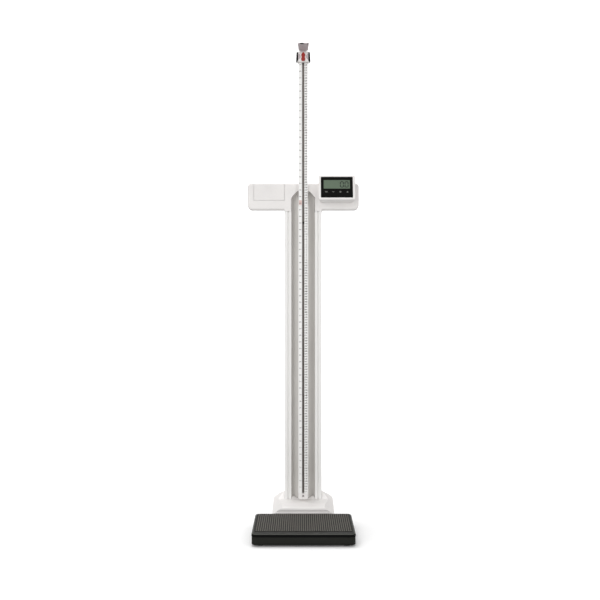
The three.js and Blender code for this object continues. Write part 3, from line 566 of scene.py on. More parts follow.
def refined(node, width=0.5, segments=2):
    """A detailed stand-in for a CAD node: its flat faces merged and its edges rounded."""
    obj = added(node + "_look", frame["nodes"][node].data.copy())
    bm = bmesh.new()
    bm.from_mesh(obj.data)
    bmesh.ops.remove_doubles(bm, verts=bm.verts, dist=0.01 * MM)
    bmesh.ops.dissolve_limit(bm, angle_limit=radians(1), verts=bm.verts, edges=bm.edges)
    bm.to_mesh(obj.data)
    bm.free()
    rounded(obj, width, segments, SMOOTH_DEGREES)
    return stand_in(obj, node)


# ---- platform

SKIRT_CORNER = 18
MAT_GAP = 5.0
RIB_PITCH = 7.5
PAN_FLOOR = 41.0


def platform_shell(name, profile):
    """A solid from (inset, height) steps of the platform's rounded outline."""
    rings = []
    for inset, z in profile:
        x = both(PAN_HIGH.x - inset)
        y = (PAN_LOW.y + inset, PAN_HIGH.y - inset)
        outline = oblong(x, y, max(SKIRT_CORNER - inset, 1.0), 10)
        rings.append([(p.x, p.y, z) for p in outline])
    return ring_solid(name, rings)


def platform_pan():
    """Skirted pan: rolled lower edge, a shadow line, a flat band and an overhanging rounded rim."""
    rolled_foot = [(2.6, 6.5), (1.6, 6.9), (1.1, 7.8), (1.0, 9.6)]
    shadow_line = [(2.2, 10.1), (2.2, 11.2), (1.0, 11.7)]
    flat_band = [(0.9, 20.0), (1.0, 32.6), (1.4, 33.2)]
    # Seat for the dark band of painted shade below the rim.
    shade_band_seat = [(2.4, 33.4), (2.4, 42.3)]
    rim = [(5.5, 42.5), (5.6, 43.7), (6.0, 44.0)]
    pan = platform_shell("platform_pan_look", rolled_foot + shadow_line + flat_band + shade_band_seat + rim)
    play = 0.3
    x = (MAT_LOW.x - play, MAT_HIGH.x + play)
    y = (MAT_LOW.y - MAT_GAP, MAT_HIGH.y + MAT_GAP)
    seat = prism("seat", "z", oblong(x, y, 1.5), (PAN_FLOOR, 60))
    hollow = platform_shell("hollow", [(6.4, -5), (6.4, PAN_FLOOR - 3)])
    tail_notch = block("notch", both(111), (78, 120), (-5, 20))
    cut(pan, seat, hollow, tail_notch)
    rounded(pan, 0.5, 2)
    stand_in(pan, "platform_pan")


def platform_band(name, profile, inner, look):
    """A band that runs round the top of the skirt, as deep as the inner inset."""
    band = platform_shell(name, profile)
    cut(band, platform_shell("inside", [(inner, 30), (inner, 50)]))
    place(band, "platform", "black_plastic", look)


def platform_rim():
    """Raised edge along the top of the skirt, in a lighter grey as a painted highlight."""
    profile = [(2.6, 42.4), (2.5, 43.1), (2.9, 43.7), (3.6, 44.0), (4.6, 44.0), (5.2, 43.8)]
    platform_band("platform_rim", profile, 5.4, "painted_highlight_edge")


def platform_bumper():
    """Dark rubber band let into the top of the skirt, all the way round, bulging past it: painted shade
    below the rim.
    """
    lower = [(1.2, 33.7), (0.5, 34.2), (0.1, 35.2), (0.0, 37.0)]
    upper = [(0.15, 39.0), (0.6, 40.8), (1.2, 41.7), (2.1, 42.1)]
    platform_band("platform_bumper", lower + upper, 2.5, "black_rubber")


def rib_outline():
    """Cross-section of the mat: rounded ribs on a thin base."""
    low, high = MAT_LOW.x, MAT_HIGH.x
    valley = MAT_HIGH.z - RIB_HEIGHT
    count = int((high - low) // RIB_PITCH)
    points = [(low, MAT_LOW.z), (high, MAT_LOW.z), (high, valley)]
    first = (low + high) / 2 + (count - 1) / 2 * RIB_PITCH
    bulge = ((2.0, 0.0), (1.75, 0.75), (1.3, 1.25), (0.6, RIB_HEIGHT))
    for i in range(count):
        x = first - i * RIB_PITCH
        points += [(x + across, valley + up) for across, up in bulge]
        points += [(x - across, valley + up) for across, up in reversed(bulge)]
    points.append((low, valley))
    return points


def platform_mat():
    mat = prism("platform_mat_look", "y", rib_outline(), (MAT_LOW.y + MAT_GAP, MAT_HIGH.y))
    stand_in(mat, "platform_mat")


# ---- base cover and column

FIT = 0.5
COLUMN_INNER, COLUMN_HALF = 45.5, 71.5
COLUMN_FRONT, COLUMN_REAR = 198, 240
WEB_FRONT, WEB_REAR = 228, 231
DUCT_X, DUCT_Y = 61, 222
WHEEL_X, WHEEL_CENTRE = 93, (236, 27)
NOSE_TOP, TUCK_LEVEL, TUCK = 62, 45.5, 7
SHOULDER_HALF, SHOULDER_LEVEL = 115, 80
FAR_UP = 130


def beyond_plane(a, b, c, inset):
    """A large block resting on the plane through three points, on its outer side."""
    a, b, c = Vector(a), Vector(b), Vector(c)
    normal = (b - a).cross(c - a).normalized()
    tool = block("plane", both(200), both(200), (0, 400))
    turn = Vector((0, 0, 1)).rotation_difference(normal).to_matrix().to_4x4()
    return moved(tool, Matrix.Translation((a - normal * inset) * MM) @ turn)


def cover_side_view(inset, bottom, top):
    """Seen from the side: hump at the rear, sloping top, rolled front and the tuck below it."""
    front, rear = COVER_LOW.y + inset, COVER_HIGH.y - inset
    lip = front + TUCK / 2
    return filleted([
        (rear, bottom), (rear, top, 8), (234, top, 5), (200, 77 - inset, 12),
        ((front + COLUMN_FRONT) / 2, 71 - inset, 60), (front, NOSE_TOP - inset, 10),
        (front + TUCK, TUCK_LEVEL, 0.8), (lip, TUCK_LEVEL - 0.7, 0.4), (lip, bottom),
    ], 14)


def cover_solid(inset):
    """The cover's outside or, with an inset, its hollow: three views crossed, less two corner facets."""
    bottom = 0 if inset else COVER_LOW.z
    top = COVER_HIGH.z - inset
    half = COVER_HIGH.x - inset
    front, rear = COVER_LOW.y + inset, COVER_HIGH.y - inset
    shoulder, shoulder_level = SHOULDER_HALF - inset, SHOULDER_LEVEL - inset
    front_view = filleted([
        (half, bottom), (shoulder, shoulder_level, 6), (COLUMN_HALF, top, 14), (-COLUMN_HALF, top, 14),
        (-shoulder, shoulder_level, 6), (-half, bottom),
    ], 12)
    plan = oblong(both(half), (front, rear), 0, 10, 14)
    solid = prism("cover", "x", cover_side_view(inset, bottom, top), both(130))
    common(
        solid,
        prism("front_view", "y", front_view, (80, 260)),
        prism("plan", "z", plan, (bottom - 1, FAR_UP)),
    )
    low = (105, COVER_LOW.y + TUCK, TUCK_LEVEL)
    flank = (119, COVER_LOW.y + 44.5, TUCK_LEVEL)
    high = (COLUMN_HALF, 226, 102)
    right = beyond_plane(low, flank, high, inset)
    left = beyond_plane(*[(-x, y, z) for x, y, z in (low, high, flank)], inset)
    return cut(solid, right, left)


def base_cover():
    shell = cover_solid(0)
    rounded(shell, 1.3, 3, 24)
    up = (0, FAR_UP)
    column = (COLUMN_INNER - FIT, COLUMN_HALF + FIT)
    depth = (COLUMN_FRONT - FIT, COLUMN_REAR + FIT)
    holes = [block("profile_hole", column, depth, up)]
    holes.append(block("profile_hole", (-column[1], -column[0]), depth, up))
    holes.append(block("web_hole", both(COLUMN_INNER), (WEB_FRONT - FIT, depth[1]), up))
    horn = [(24, 79, 4), (36, 86, 3), (COLUMN_INNER, 84), (COLUMN_INNER, FAR_UP)]
    holes.append(prism("recess", "y", filleted([*horn, *mirrored(horn)]), (depth[0], WEB_FRONT)))
    holes.append(block("tail", both(108.5), (70, 103), (0, 17.5)))
    for side in (-1, 1):
        holes.append(bar("well", "x", WHEEL_CENTRE, 27, span(side * WHEEL_X, 15.5), 64))
    cut(shell, cover_solid(3), *holes)
    stand_in(shell, "base_cover")


def profile_outline():
    """Half of the column: a rounded outer ridge, a groove, a slimmer inner ridge and the web slot."""
    slot_front, slot_rear, slot_floor = WEB_FRONT - 0.3, WEB_REAR + 0.3, 49.8
    groove_low, groove_high, groove_floor = 54.5, 59.5, COLUMN_FRONT + 6
    return filleted([
        (COLUMN_HALF, COLUMN_REAR, 3), (COLUMN_INNER, COLUMN_REAR, 1), (COLUMN_INNER, slot_rear),
        (slot_floor, slot_rear), (slot_floor, slot_front), (COLUMN_INNER, slot_front),
        (COLUMN_INNER, COLUMN_FRONT, 2.4), (groove_low, COLUMN_FRONT, 2.4), (groove_low, groove_floor, 0.8),
        (groove_high, groove_floor, 0.8), (groove_high, COLUMN_FRONT, 4), (COLUMN_HALF, COLUMN_FRONT, 4),
    ], 10)


def column_profiles():
    outline = profile_outline()
    hollow = oblong((52.5, 69), (208, 237.5), 1)
    ends = (PROFILE_LOW.z, PROFILE_HIGH.z)
    beyond = (ends[0] - 5, ends[1] + 5)
    for name, side in (("column_profile_left", -1), ("column_profile_right", 1)):
        profile = prism(name + "_look", "z", on_side(side, outline), ends)
        cut(profile, prism("hollow", "z", on_side(side, hollow), beyond))
        if side > 0:
            cut(profile, block("duct", (44.5, 53.5), (208, 226), (24, 66)))
        stand_in(profile, name)


# ---- crossbar

ARM_BOTTOM, ARM_TOP = 1196, ARMS_HIGH.z
COVER_SPLIT = 236
POCKET_FLOOR = 200
CABLE_X, CABLE_Z = 128.5, 1250
CABLE_HOLE = 6.5
COLLAR_LOW = 1180
ABOVE = 1320


def arm_ring(inset, y):
    half = ARMS_HIGH.x - inset
    bottom, top = ARM_BOTTOM + inset, ARM_TOP - inset
    lower, upper = max(18 - inset, 1), max(14 - inset, 1)
    return [(p.x, y, p.y) for p in oblong(both(half), (bottom, top), lower, 12, upper)]


def arms_solid(inset):
    """Both arms as one pillow-edged bar, joined to the collar that sits on the column."""
    front, rear = ARMS_LOW.y + inset, BACK_HIGH.y - inset
    radius = 8 - inset
    steps = 8
    angles = [pi / 2 * i / steps for i in range(steps + 1)]
    quarter = [(1 - sin(a), 1 - cos(a)) for a in angles]
    rings = [arm_ring(inset + radius * side, front + radius * deep) for side, deep in quarter]
    rings += [arm_ring(inset + radius * side, rear - radius * deep) for side, deep in reversed(quarter)]
    arms = ring_solid("arms", rings)
    half = COLUMN_HALF + 2 - inset
    x, y = both(half), (front, BACK_HIGH.y - 8)
    return join(arms, prism("collar", "z", oblong(x, y, 4), (ARMS_LOW.z + inset, 1225)))


def arch_tool(grow, rear):
    """The opening over the column's recess, with a sloping shoulder on each side."""
    foot, shoulder, crown = 46 + grow, 1244, 1268 + grow
    right = [(foot, 1171), (foot, shoulder, 11), (24 + grow, crown, 11)]
    return prism("arch", "y", filleted([*right, *mirrored(right)], 10), (176, rear))


def lid_pocket(gap, back):
    """The lid's pocket in the left arm; with a gap, the smaller space that the lid itself fills."""
    return block("pocket", (-191.5 + gap, -72 - gap), (180, back), (1232 + gap, ABOVE))


def crossbar_covers():
    shell = arms_solid(0)
    cut(shell, arch_tool(0, WEB_FRONT + 0.2))
    rounded(shell, 1.2, 3, 40)
    cavity = arms_solid(3)
    backing = block("backing", (-195, -68.5), (190, POCKET_FLOOR + 3.4), (1228.5, ABOVE))
    cut(cavity, arch_tool(3, WEB_FRONT - 0.3), backing)
    cut(shell, cavity, lid_pocket(0, POCKET_FLOOR + 0.3))
    everything = (COLLAR_LOW - 10, ABOVE)
    rear = added(shell.name, shell.data.copy())
    common(rear, block("rear", both(240), (COVER_SPLIT + 0.3, 270), everything))
    cut(
        shell,
        block("rear", both(240), (COVER_SPLIT, 270), everything),
        block("bay", (-184, -79.5), (190, 214), (1239.5, 1290.1)),
        bar("cable_hole", "y", (CABLE_X, CABLE_Z), CABLE_HOLE, (190, 206)),
        block("column_hole", both(50.5), (226.7, 237), (COLLAR_LOW, ARM_BOTTOM + 0.5)),
        bar("duct_hole", "z", (DUCT_X, DUCT_Y), CABLE_HOLE, (COLLAR_LOW, ARM_BOTTOM)),
    )
    for obj, node in ((shell, "crossbar_front_cover"), (rear, "crossbar_rear_cover")):
        rounded(obj, 0.35, 2, 60)
        stand_in(obj, node)


def battery_lid():
    lid = common(arms_solid(0), lid_pocket(1.0, POCKET_FLOOR))
    grip_pitch = 3
    levels = [1288 - grip_pitch * i for i in range(3)]
    cut(lid, *[block("grip", (-146, -117.5), (190, 196.5), (z, z + 1.2)) for z in levels])
    rounded(lid, 0.9, 3, 40)
    stand_in(lid, "battery_lid")


# ---- display head

PRESS = next(joint for joint in frame["joints"] if joint["name"] == "key_1_press")
TILT = atan2(-PRESS["axis"][2], PRESS["axis"][1])
HEAD_X = (corners("display_bezel")[0].x + corners("display_bezel")[1].x) / 2
HEAD_FRONT, HEAD_BOTTOM = 134.0, 1230.0
HEAD_HALF, HEAD_HEIGHT, HEAD_CORNER = 70.25, 101, 6
THROUGH = (-5, 10)
KEY_HALF, KEY_RISE = 10.7, 5.7
FACE = Matrix.Translation((HEAD_X * MM, HEAD_FRONT * MM, HEAD_BOTTOM * MM)) @ Matrix.Rotation(-TILT, 4, "X")


def on_face(x, y, z):
    return tuple((FACE @ Vector((x * MM, y * MM, z * MM))) / MM)


def face_piece(obj):
    return moved(obj, FACE)


def housing_ring(share, front, rear, depth, rear_y):
    """A ring part of the way from the tilted face to the crossbar."""
    ring = []
    for near, far in zip(front, rear):
        start = Vector(on_face(near.x, depth, near.y))
        ring.append(start.lerp(Vector((HEAD_X + far.x, rear_y, far.y)), share))
    return ring


def display_housing():
    """Bulged body between the tilted face and the crossbar, with a seam line around it."""
    rear_low, rear_high = 1222.6, 1318.0
    rear_half = 64
    rear_y = corners("display_housing")[1].y
    wall, seam = 3, 0.9
    rings = []
    stations = [(0.0, 0.0), (0.06, 0.0), (0.09, seam), (0.12, seam), (0.15, 0.0), (0.5, 0.0), (1.0, 0.0)]
    for share, inset in stations:
        front = oblong(both(HEAD_HALF - inset), (inset, HEAD_HEIGHT - inset), HEAD_CORNER, 10)
        rear = oblong(both(rear_half - inset), (rear_low + inset, rear_high - inset), 8, 10)
        rings.append(housing_ring(share, front, rear, 4.0, rear_y))
    housing = ring_solid("display_housing_look", rings)
    front = oblong(both(67), (wall, HEAD_HEIGHT - wall), 4, 10)
    rear = oblong(both(rear_half - wall), (rear_low + wall, rear_high - wall), 6, 10)
    inner = [housing_ring(share, front, rear, 2.0, rear_y - wall) for share in (0.0, 1.0)]
    cable_hole = bar("cable_hole", "y", (CABLE_X, CABLE_Z), CABLE_HOLE, (186, 200))
    cut(housing, ring_solid("inner", inner), cable_hole)
    stand_in(housing, "display_housing")


def display_bezel():
    """Frame around the panel: softly rounded outside, a small step down to the panel inside."""
    steps, soft = 6, 2.2
    rings = []
    for i in range(steps + 1):
        a = pi / 2 * i / steps
        inset = soft * (1 - sin(a))
        height = (inset, HEAD_HEIGHT - inset)
        outline = oblong(both(HEAD_HALF - inset), height, HEAD_CORNER - inset, 10)
        rings.append([(p.x, soft * (1 - cos(a)), p.y) for p in outline])
    rear = oblong(both(HEAD_HALF), (0, HEAD_HEIGHT), HEAD_CORNER, 10)
    rings.append([(p.x, 3.7, p.y) for p in rear])
    plate = ring_solid("display_bezel_look", rings)
    cut(plate, slab("opening", both(61.3), (7.7, 93.8), 3, THROUGH, 8))
    rounded(plate, 0.5)
    stand_in(face_piece(plate), "display_bezel")


def key_places():
    pitch, level = 27, 31.8
    return [((i - 1.5) * pitch, level) for i in range(4)]


def display_panel():
    """Glossy face with a window and four key openings."""
    panel = slab("display_panel_look", both(61), (8, 93.5), 3, (0.6, 2.6), 8)
    holes = [slab("window", both(50.5), (45, 81), 1.2, THROUGH)]
    for x, z in key_places():
        holes.append(slab("key_hole", span(x, KEY_HALF + 0.3), span(z, KEY_RISE + 0.3), 2, THROUGH))
    cut(panel, *holes)
    rounded(panel, 0.25, 2)
    stand_in(face_piece(panel), "display_panel")


def lcd_module():
    glass = slab("lcd_module_look", both(50.2), (45.3, 80.7), 1, (1.2, 3.9))
    join(glass, slab("body", both(54.5), (41, 85), 1, (2.9, 7.0)))
    rounded(glass, 0.2, 2)
    stand_in(face_piece(glass), "lcd_module")


DIGIT_DEPTH = (1.12, 1.22)
DIGIT_LOW, DIGIT_WIDTH, DIGIT_HEIGHT = 51.5, 11.5, 22
DIGIT_BARS = {
    "top": ((0, 2), (1, 2)), "upper_left": ((0, 1), (0, 2)), "upper_right": ((1, 1), (1, 2)),
    "lower_left": ((0, 0), (0, 1)), "lower_right": ((1, 0), (1, 1)), "bottom": ((0, 0), (1, 0)),
}


def segment(name, start, end, width):
    """One bar of a seven-segment digit: a hexagon between two points of the display plane."""
    along = (end - start).normalized()
    side = Vector((-along.y, along.x)) * width / 2
    tip = along * width / 2
    points = [start, start + tip + side, end - tip + side, end, end - tip - side, start + tip - side]
    return prism(name, "y", points, DIGIT_DEPTH)


def zero(left):
    """The six lit bars of a nought."""
    bars = []
    for name, (a, b) in DIGIT_BARS.items():
        gap = Vector((b[0] - a[0], b[1] - a[1])) * 0.4
        start = Vector((left + a[0] * DIGIT_WIDTH, DIGIT_LOW + a[1] * DIGIT_HEIGHT / 2)) + gap
        end = Vector((left + b[0] * DIGIT_WIDTH, DIGIT_LOW + b[1] * DIGIT_HEIGHT / 2)) - gap
        bars.append(segment(name, start, end, 3.0))
    return bars


def lcd_digits():
    """Reads 0.0 at the right of the window."""
    point = slab("point", (27.2, 29.6), (50.6, 53.0), 0.4, DIGIT_DEPTH)
    digits = joined("lcd_digits", [*zero(13.5), *zero(31.5), point])
    place(face_piece(digits), "base", "lcd", "lcd_digit")


def key_symbol(i, x, z):
    """A raised mark on a key: two bars, an arrow, a power ring or a triangle."""
    depth = (0.8, 0.92)
    if i == 0:
        return [slab("mark", span(x, 5), span(z + up, 0.8), 0.4, depth) for up in (-1.6, 1.6)]
    if i == 1:
        arrow = [(-5, 2.2), (-3.2, 2.2), (0, -0.6), (3.2, 2.2), (5, 2.2), (0, -2.4)]
        return [prism("mark", "y", [(x + across, z + up) for across, up in arrow], depth)]
    if i == 2:
        ring = cut(bar("mark", "y", (x, z), 3.6, depth), bar("hole", "y", (x, z), 2.3, (0, 2)))
        return [ring, slab("mark", span(x, 0.7), span(z, 1.5), 0.2, depth)]
    return [prism("mark", "y", [(x - 4.2, z - 2.6), (x + 4.2, z - 2.6), (x, z + 3.2)], depth)]


def keys():
    for i, (x, z) in enumerate(key_places()):
        node = "key_" + str(i + 1)
        cap = slab(node + "_look", span(x, KEY_HALF), span(z, KEY_RISE), 1.7, (0.9, 3.9), 8)
        join(cap, slab("flange", span(x, 12), span(z, 7), 1, (2.9, 4.9)))
        rounded(cap, 0.35)
        stand_in(face_piece(cap), node)
        symbol = joined(node + "_symbol", key_symbol(i, x, z))
        place(face_piece(symbol), node, "black_gloss", "key_symbol")


# ---- measuring rod

ROD_HALF, INNER_HALF = 19, 17.2
ROD_FRONT, ROD_REAR = 173, 187
INNER_FRONT, INNER_REAR = 174.8, 185.2
ROD_WALL = 1.5
GUIDE_CAP = (1207.3, 1211.3)
ROD_END_Z = 93


def channel_outline(half, front, rear):
    """A rectangular tube, open along the middle of its front."""
    groove, soft, corner = 4.25, 0.5, 1.2
    inside, lip, back = half - ROD_WALL, front + ROD_WALL, rear - ROD_WALL
    return filleted([
        (-groove, front, soft), (-groove, lip, 0.3), (-inside, lip), (-inside, back),
        (inside, back), (inside, lip), (groove, lip, 0.3), (groove, front, soft),
        (half, front, corner), (half, rear, corner), (-half, rear, corner), (-half, front, corner),
    ], 5)


def rod_sections():
    outer = channel_outline(ROD_HALF, ROD_FRONT, ROD_REAR)
    inner = channel_outline(INNER_HALF, INNER_FRONT, INNER_REAR)
    for node, outline, ends in (
        ("rod_outer", outer, (OUTER_LOW.z, OUTER_HIGH.z)),
        ("rod_inner", inner, (INNER_LOW.z, INNER_HIGH.z)),
        ("rod_guide_cap", outer, GUIDE_CAP),
    ):
        stand_in(prism(node + "_look", "z", outline, ends), node)


def groove_liners():
    """Grey strips of painted shade on the rear wall of each section, seen down the front groove."""
    for name, body, rear, ends, half in (
        ("outer", "base", ROD_REAR - ROD_WALL, (OUTER_LOW.z, OUTER_HIGH.z), 15.5),
        ("inner", "upper_rod", INNER_REAR - ROD_WALL, (INNER_LOW.z, INNER_HIGH.z), 13.5),
    ):
        outline = oblong(both(half), (rear - 0.2, rear - 0.05), 0.05, 2)
        strip = prism("rod_" + name + "_shade_strip", "z", outline, (ends[0] + 1, ends[1] - 1))
        place(strip, body, "white_metal", "groove")


def rod_ends():
    outline = oblong(both(ROD_HALF), (80.6, 102.9), 9, 10, 0.6)
    cap = prism("rod_end_cap_look", "y", outline, (ROD_FRONT, ROD_REAR))
    cut(cap, bar("seat", "y", (0, ROD_END_Z), 3.9, (ROD_FRONT - 3, ROD_FRONT + 3)))
    rounded(cap, 0.9)
    stand_in(cap, "rod_end_cap")
    screw = turned("rod_end_screw_look", "y", (0, ROD_END_Z), [
        (0, 172.1), (2.6, 172.05), (3.3, 172.5), (3.6, 173.2), (3.6, 175.7), (0, 175.7),
    ])
    long, slim, deep = 2.2, 0.45, (170, 173.2)
    across = block("slot", span(0, long), deep, span(ROD_END_Z, slim))
    upright = block("slot", span(0, slim), deep, span(ROD_END_Z, long))
    cut(screw, across, upright)
    stand_in(screw, "rod_end_screw", "groove")
    refined("rod_top_cap", 0.4, 3)
    button = turned("rod_detent_button_look", "y", (0, 1145), [
        (0, 178.1), (1.2, 178.15), (2.2, 178.6), (2.8, 179.4), (3.0, 180.4), (3.0, 183.3), (0, 183.3),
    ], 32)
    stand_in(button, "rod_detent_button", "black_rubber")


# ---- printed graduations

CENTIMETRE, INCH = 10.0, 25.4
MARKS_BESIDE = 4.9


def number_pieces(text, centre, height, face_y, weight=0.0):
    """A printed number, thin and closed, standing on a face that looks along -Y."""
    curve = bpy.data.curves.new("number", "FONT")
    curve.body = text
    curve.size = height * 1.35 * MM
    curve.extrude = 0.02 * MM
    curve.offset = weight * MM
    curve.resolution_u = 2
    curve.align_x = "CENTER"
    curve.align_y = "CENTER"
    holder = added("number", curve)
    graph = bpy.context.evaluated_depsgraph_get()
    mesh = bpy.data.meshes.new_from_object(holder.evaluated_get(graph))
    bpy.data.objects.remove(holder)
    turn = Matrix.Rotation(radians(90), 4, "X")
    shift = Matrix.Translation(Vector((centre[0], face_y - 0.02, centre[1])) * MM)
    return moved(added("number", mesh), shift @ turn)


def tick(x, z, thick, face_y):
    return block("tick", x, (face_y - 0.04, face_y), span(z, thick / 2))


def steps_between(low, high, pitch):
    """The whole numbers of steps that fall between two heights, clear of both ends."""
    margin = 3
    return range(ceil((low + margin) / pitch), floor((high - margin) / pitch) + 1)


def centimetre_marks(face_y, ends, half):
    """Bold dashes and numbers on the right strip, one to a centimetre."""
    pieces = []
    for i in steps_between(*ends, CENTIMETRE):
        z = CENTIMETRE * i
        fifth = i % 5 == 0
        pieces.append(tick((MARKS_BESIDE, 7.8 if fifth else 7.0), z, 1.5, face_y))
        if z + 7 < ends[1]:
            pieces.append(tick((MARKS_BESIDE, 5.8), z + CENTIMETRE / 2, 0.5, face_y))
        pieces.append(number_pieces(str(i % 100), (11.8, z), 5.8, face_y, 0.22))
        if fifth:
            pieces.append(tick((half - 2.4, half - 0.9), z, 1.0, face_y))
    return pieces


def inch_marks(face_y, ends):
    """Fine dashes and small numbers on the left strip, one number to an inch, dashes to the quarter."""
    pieces = []
    for i in steps_between(*ends, INCH):
        pieces.append(tick((-8.6, -MARKS_BESIDE), i * INCH, 0.8, face_y))
        pieces.append(number_pieces(str(i), (-12.2, i * INCH), 5.2, face_y, 0.08))
    for i in steps_between(*ends, INCH / 4):
        if i % 4:
            pieces.append(tick((-6.4 if i % 2 == 0 else -5.7, -MARKS_BESIDE), i * INCH / 4, 0.4, face_y))
    return pieces


def graduations(name, body, face_y, ends, half):
    centimetres = joined(name + "_cm", centimetre_marks(face_y, ends, half))
    place(centimetres, body, "white_metal", "print_black")
    inches = joined(name + "_inch", inch_marks(face_y, ends))
    place(inches, body, "white_metal", "print_grey")


def guide_mark():
    """A faint pink patch printed on the left strip, just above the sliding joint."""
    mark = slab("rod_guide_mark", (-16.2, -5.2), (1213, 1231), 1, (INNER_LOW.y - 0.015, INNER_LOW.y))
    place(mark, "upper_rod", "white_metal", "print_pink")


# ---- plain fittings


def plain_fittings():
    for level in ("lower", "middle", "upper"):
        refined("rod_bracket_" + level, 0.8, 3)
    refined("column_foot", 0.8, 3)
    refined("column_web")
    refined("crossbar_spreader", 0.6)
    refined("base_frame", 0.6)
    refined("battery_tray")
    refined("slide_guide_key", 0.4)
    for end in ("front", "rear"):
        for side in ("left", "right"):
            refined("load_cell_" + end + "_" + side, 0.4)


# ---- head slide

HINGE_Y = 147
HINGE_Z = (corners("tongue_pin")[0].z + corners("tongue_pin")[1].z) / 2
LUG_RADIUS = 4.5
SLIDE_TOP = 1798.5
SLIDE_HALF, SLIDE_FRONT, SLIDE_REAR = 22, 155, 191.5
STEM_Z = 1778.0


def hinge_lug(x):
    foot = SLIDE_FRONT + 1
    low, high = HINGE_Z - LUG_RADIUS, HINGE_Z + LUG_RADIUS
    outline = [(foot, 1788), (foot, HINGE_Z), (HINGE_Y, high), (HINGE_Y, low)]
    return join(prism("lug", "x", outline, x), bar("eye", "x", (HINGE_Y, HINGE_Z), LUG_RADIUS, x, 40))


def wing_outline(side, grow):
    """The finger scoop beside the catch, a fan that widens outwards."""
    corner = [(10.4, 1783.2), (14.2, 1788), (19.6, 1792), (19.6, 1768), (17.2, 1767.5), (10.6, 1775.8)]
    middle = Vector((15.5, 1779))
    reach = 8
    grown = [middle + (Vector(p) - middle) * (1 + grow / reach) for p in corner]
    return on_side(side, filleted([(p.x, p.y, 1.2) for p in grown]))


def catch_outline(grow):
    """The catch from the front: a waisted body that runs up to a point."""
    right = [(5 + grow, 1762 - grow, 3), (7.8 + grow, 1770, 5), (5.4 + grow, 1777, 4), (8 + grow, 1786, 5)]
    return filleted([*right, (0, 1797.6 + grow, 1), *mirrored(right)], 8)


def slide_body():
    """Collar around the rod with a seat for the catch, a finger scoop on each side and two hinge lugs."""
    play = ROD_HALF + 0.4
    bore_front, bore_rear, mouth = ROD_FRONT - 0.5, ROD_REAR + 0.5, 13
    right = [
        (SLIDE_HALF, SLIDE_FRONT, 5), (SLIDE_HALF, SLIDE_REAR, 1.5), (mouth, SLIDE_REAR, 1.5),
        (mouth, bore_rear), (play, bore_rear), (play, bore_front),
    ]
    outline = filleted([(-SLIDE_HALF, SLIDE_FRONT, 5), *right, *mirrored(right[1:])], 8)
    body = prism("slide_body_look", "z", outline, (SLIDE_LOW.z, SLIDE_TOP))
    join(body, hinge_lug((11, 15)), hinge_lug((-15, -11)))
    rounded(body, 0.9)
    sides = (-1, 1)
    before = 150
    scoops = [prism("scoop", "y", wing_outline(side, 0.3), (before, 156.2)) for side in sides]
    rebates = [block("rebate", span(side * 22.6, 3.2), (before, 158.4), (1750, 1796.3)) for side in sides]
    cut(
        body,
        prism("knob_seat", "y", catch_outline(0.4), (before, 159.3)),
        bar("spring_seat", "y", (0, STEM_Z), 5, (152, 167.8), 40),
        block("key_seat", both(8.3), (168.7, 173.5), (1761.7, 1792.3)),
        bar("pin_hole", "x", (HINGE_Y, HINGE_Z), 1.8, both(SLIDE_HALF), 24),
        *scoops, *rebates,
    )
    rounded(body, 0.3, 2, 55)
    stand_in(body, "slide_body")
    pads = [prism("pad", "y", wing_outline(side, 0), (155.5, 156.6)) for side in sides]
    inserts = joined("slide_finger_pads", pads)
    rounded(inserts, 0.25, 2)
    place(inserts, "head_slide", "grey_plastic")


def slide_grips():
    """Ribbed rubber pads, wider at the foot, each wrapped over the front corner of the collar."""
    foot, top = 1763.0, 1796.0
    inner, lip_edge = 22.3, 25.4
    foot_reach, top_reach = 5.2, 3.6
    count, wave_height = 9, 0.45
    for name, side in (("slide_grip_left", -1), ("slide_grip_right", 1)):
        points = [(inner, foot)]
        for i in range(count * 4 + 1):
            share = i / (count * 4)
            reach = foot_reach + (top_reach - foot_reach) * share
            wave = wave_height * (1 + cos(2 * pi * share * count)) - 2 * wave_height
            points.append((inner + reach + wave, foot + (top - foot) * share))
        points.append((inner, top))
        pad = prism(name + "_look", "y", on_side(side, points), (157, 188))
        lip_outline = filleted([
            (19.8, 157.2, 0.8), (lip_edge, 157.2, 2.6), (lip_edge, 170, 1), (inner, 170),
            (inner, 158.1, 0.2), (19.8, 158.1, 0.3),
        ], 5)
        join(pad, prism("lip", "z", on_side(side, lip_outline), (foot, top)))
        rounded(pad, 0.35, 2)
        stand_in(pad, name)


def slide_catch():
    """Red push catch with a domed face, on a stem that carries its spring."""
    knob = prism("slide_catch_look", "y", catch_outline(0), (152, 157))
    rounded(knob, 1.3, 5)
    join(knob, bar("stem", "y", (0, STEM_Z), 2, (156, 165.5), 32))
    stand_in(knob, "slide_catch")


def catch_spring():
    steps, turns = 120, 3
    coil, start, length = 3.2, 157.8, 5
    along = Vector((0, 1, 0))
    rings = []
    for i in range(steps + 1):
        share = i / steps
        a = 2 * pi * turns * share
        out = Vector((cos(a), 0, sin(a)))
        centre = Vector((coil * out.x, start + length * share, STEM_Z + coil * out.z))
        rings.append(ring_around(centre, out, along, 0.5, 12))
    stand_in(ring_solid("catch_spring_look", rings), "catch_spring")


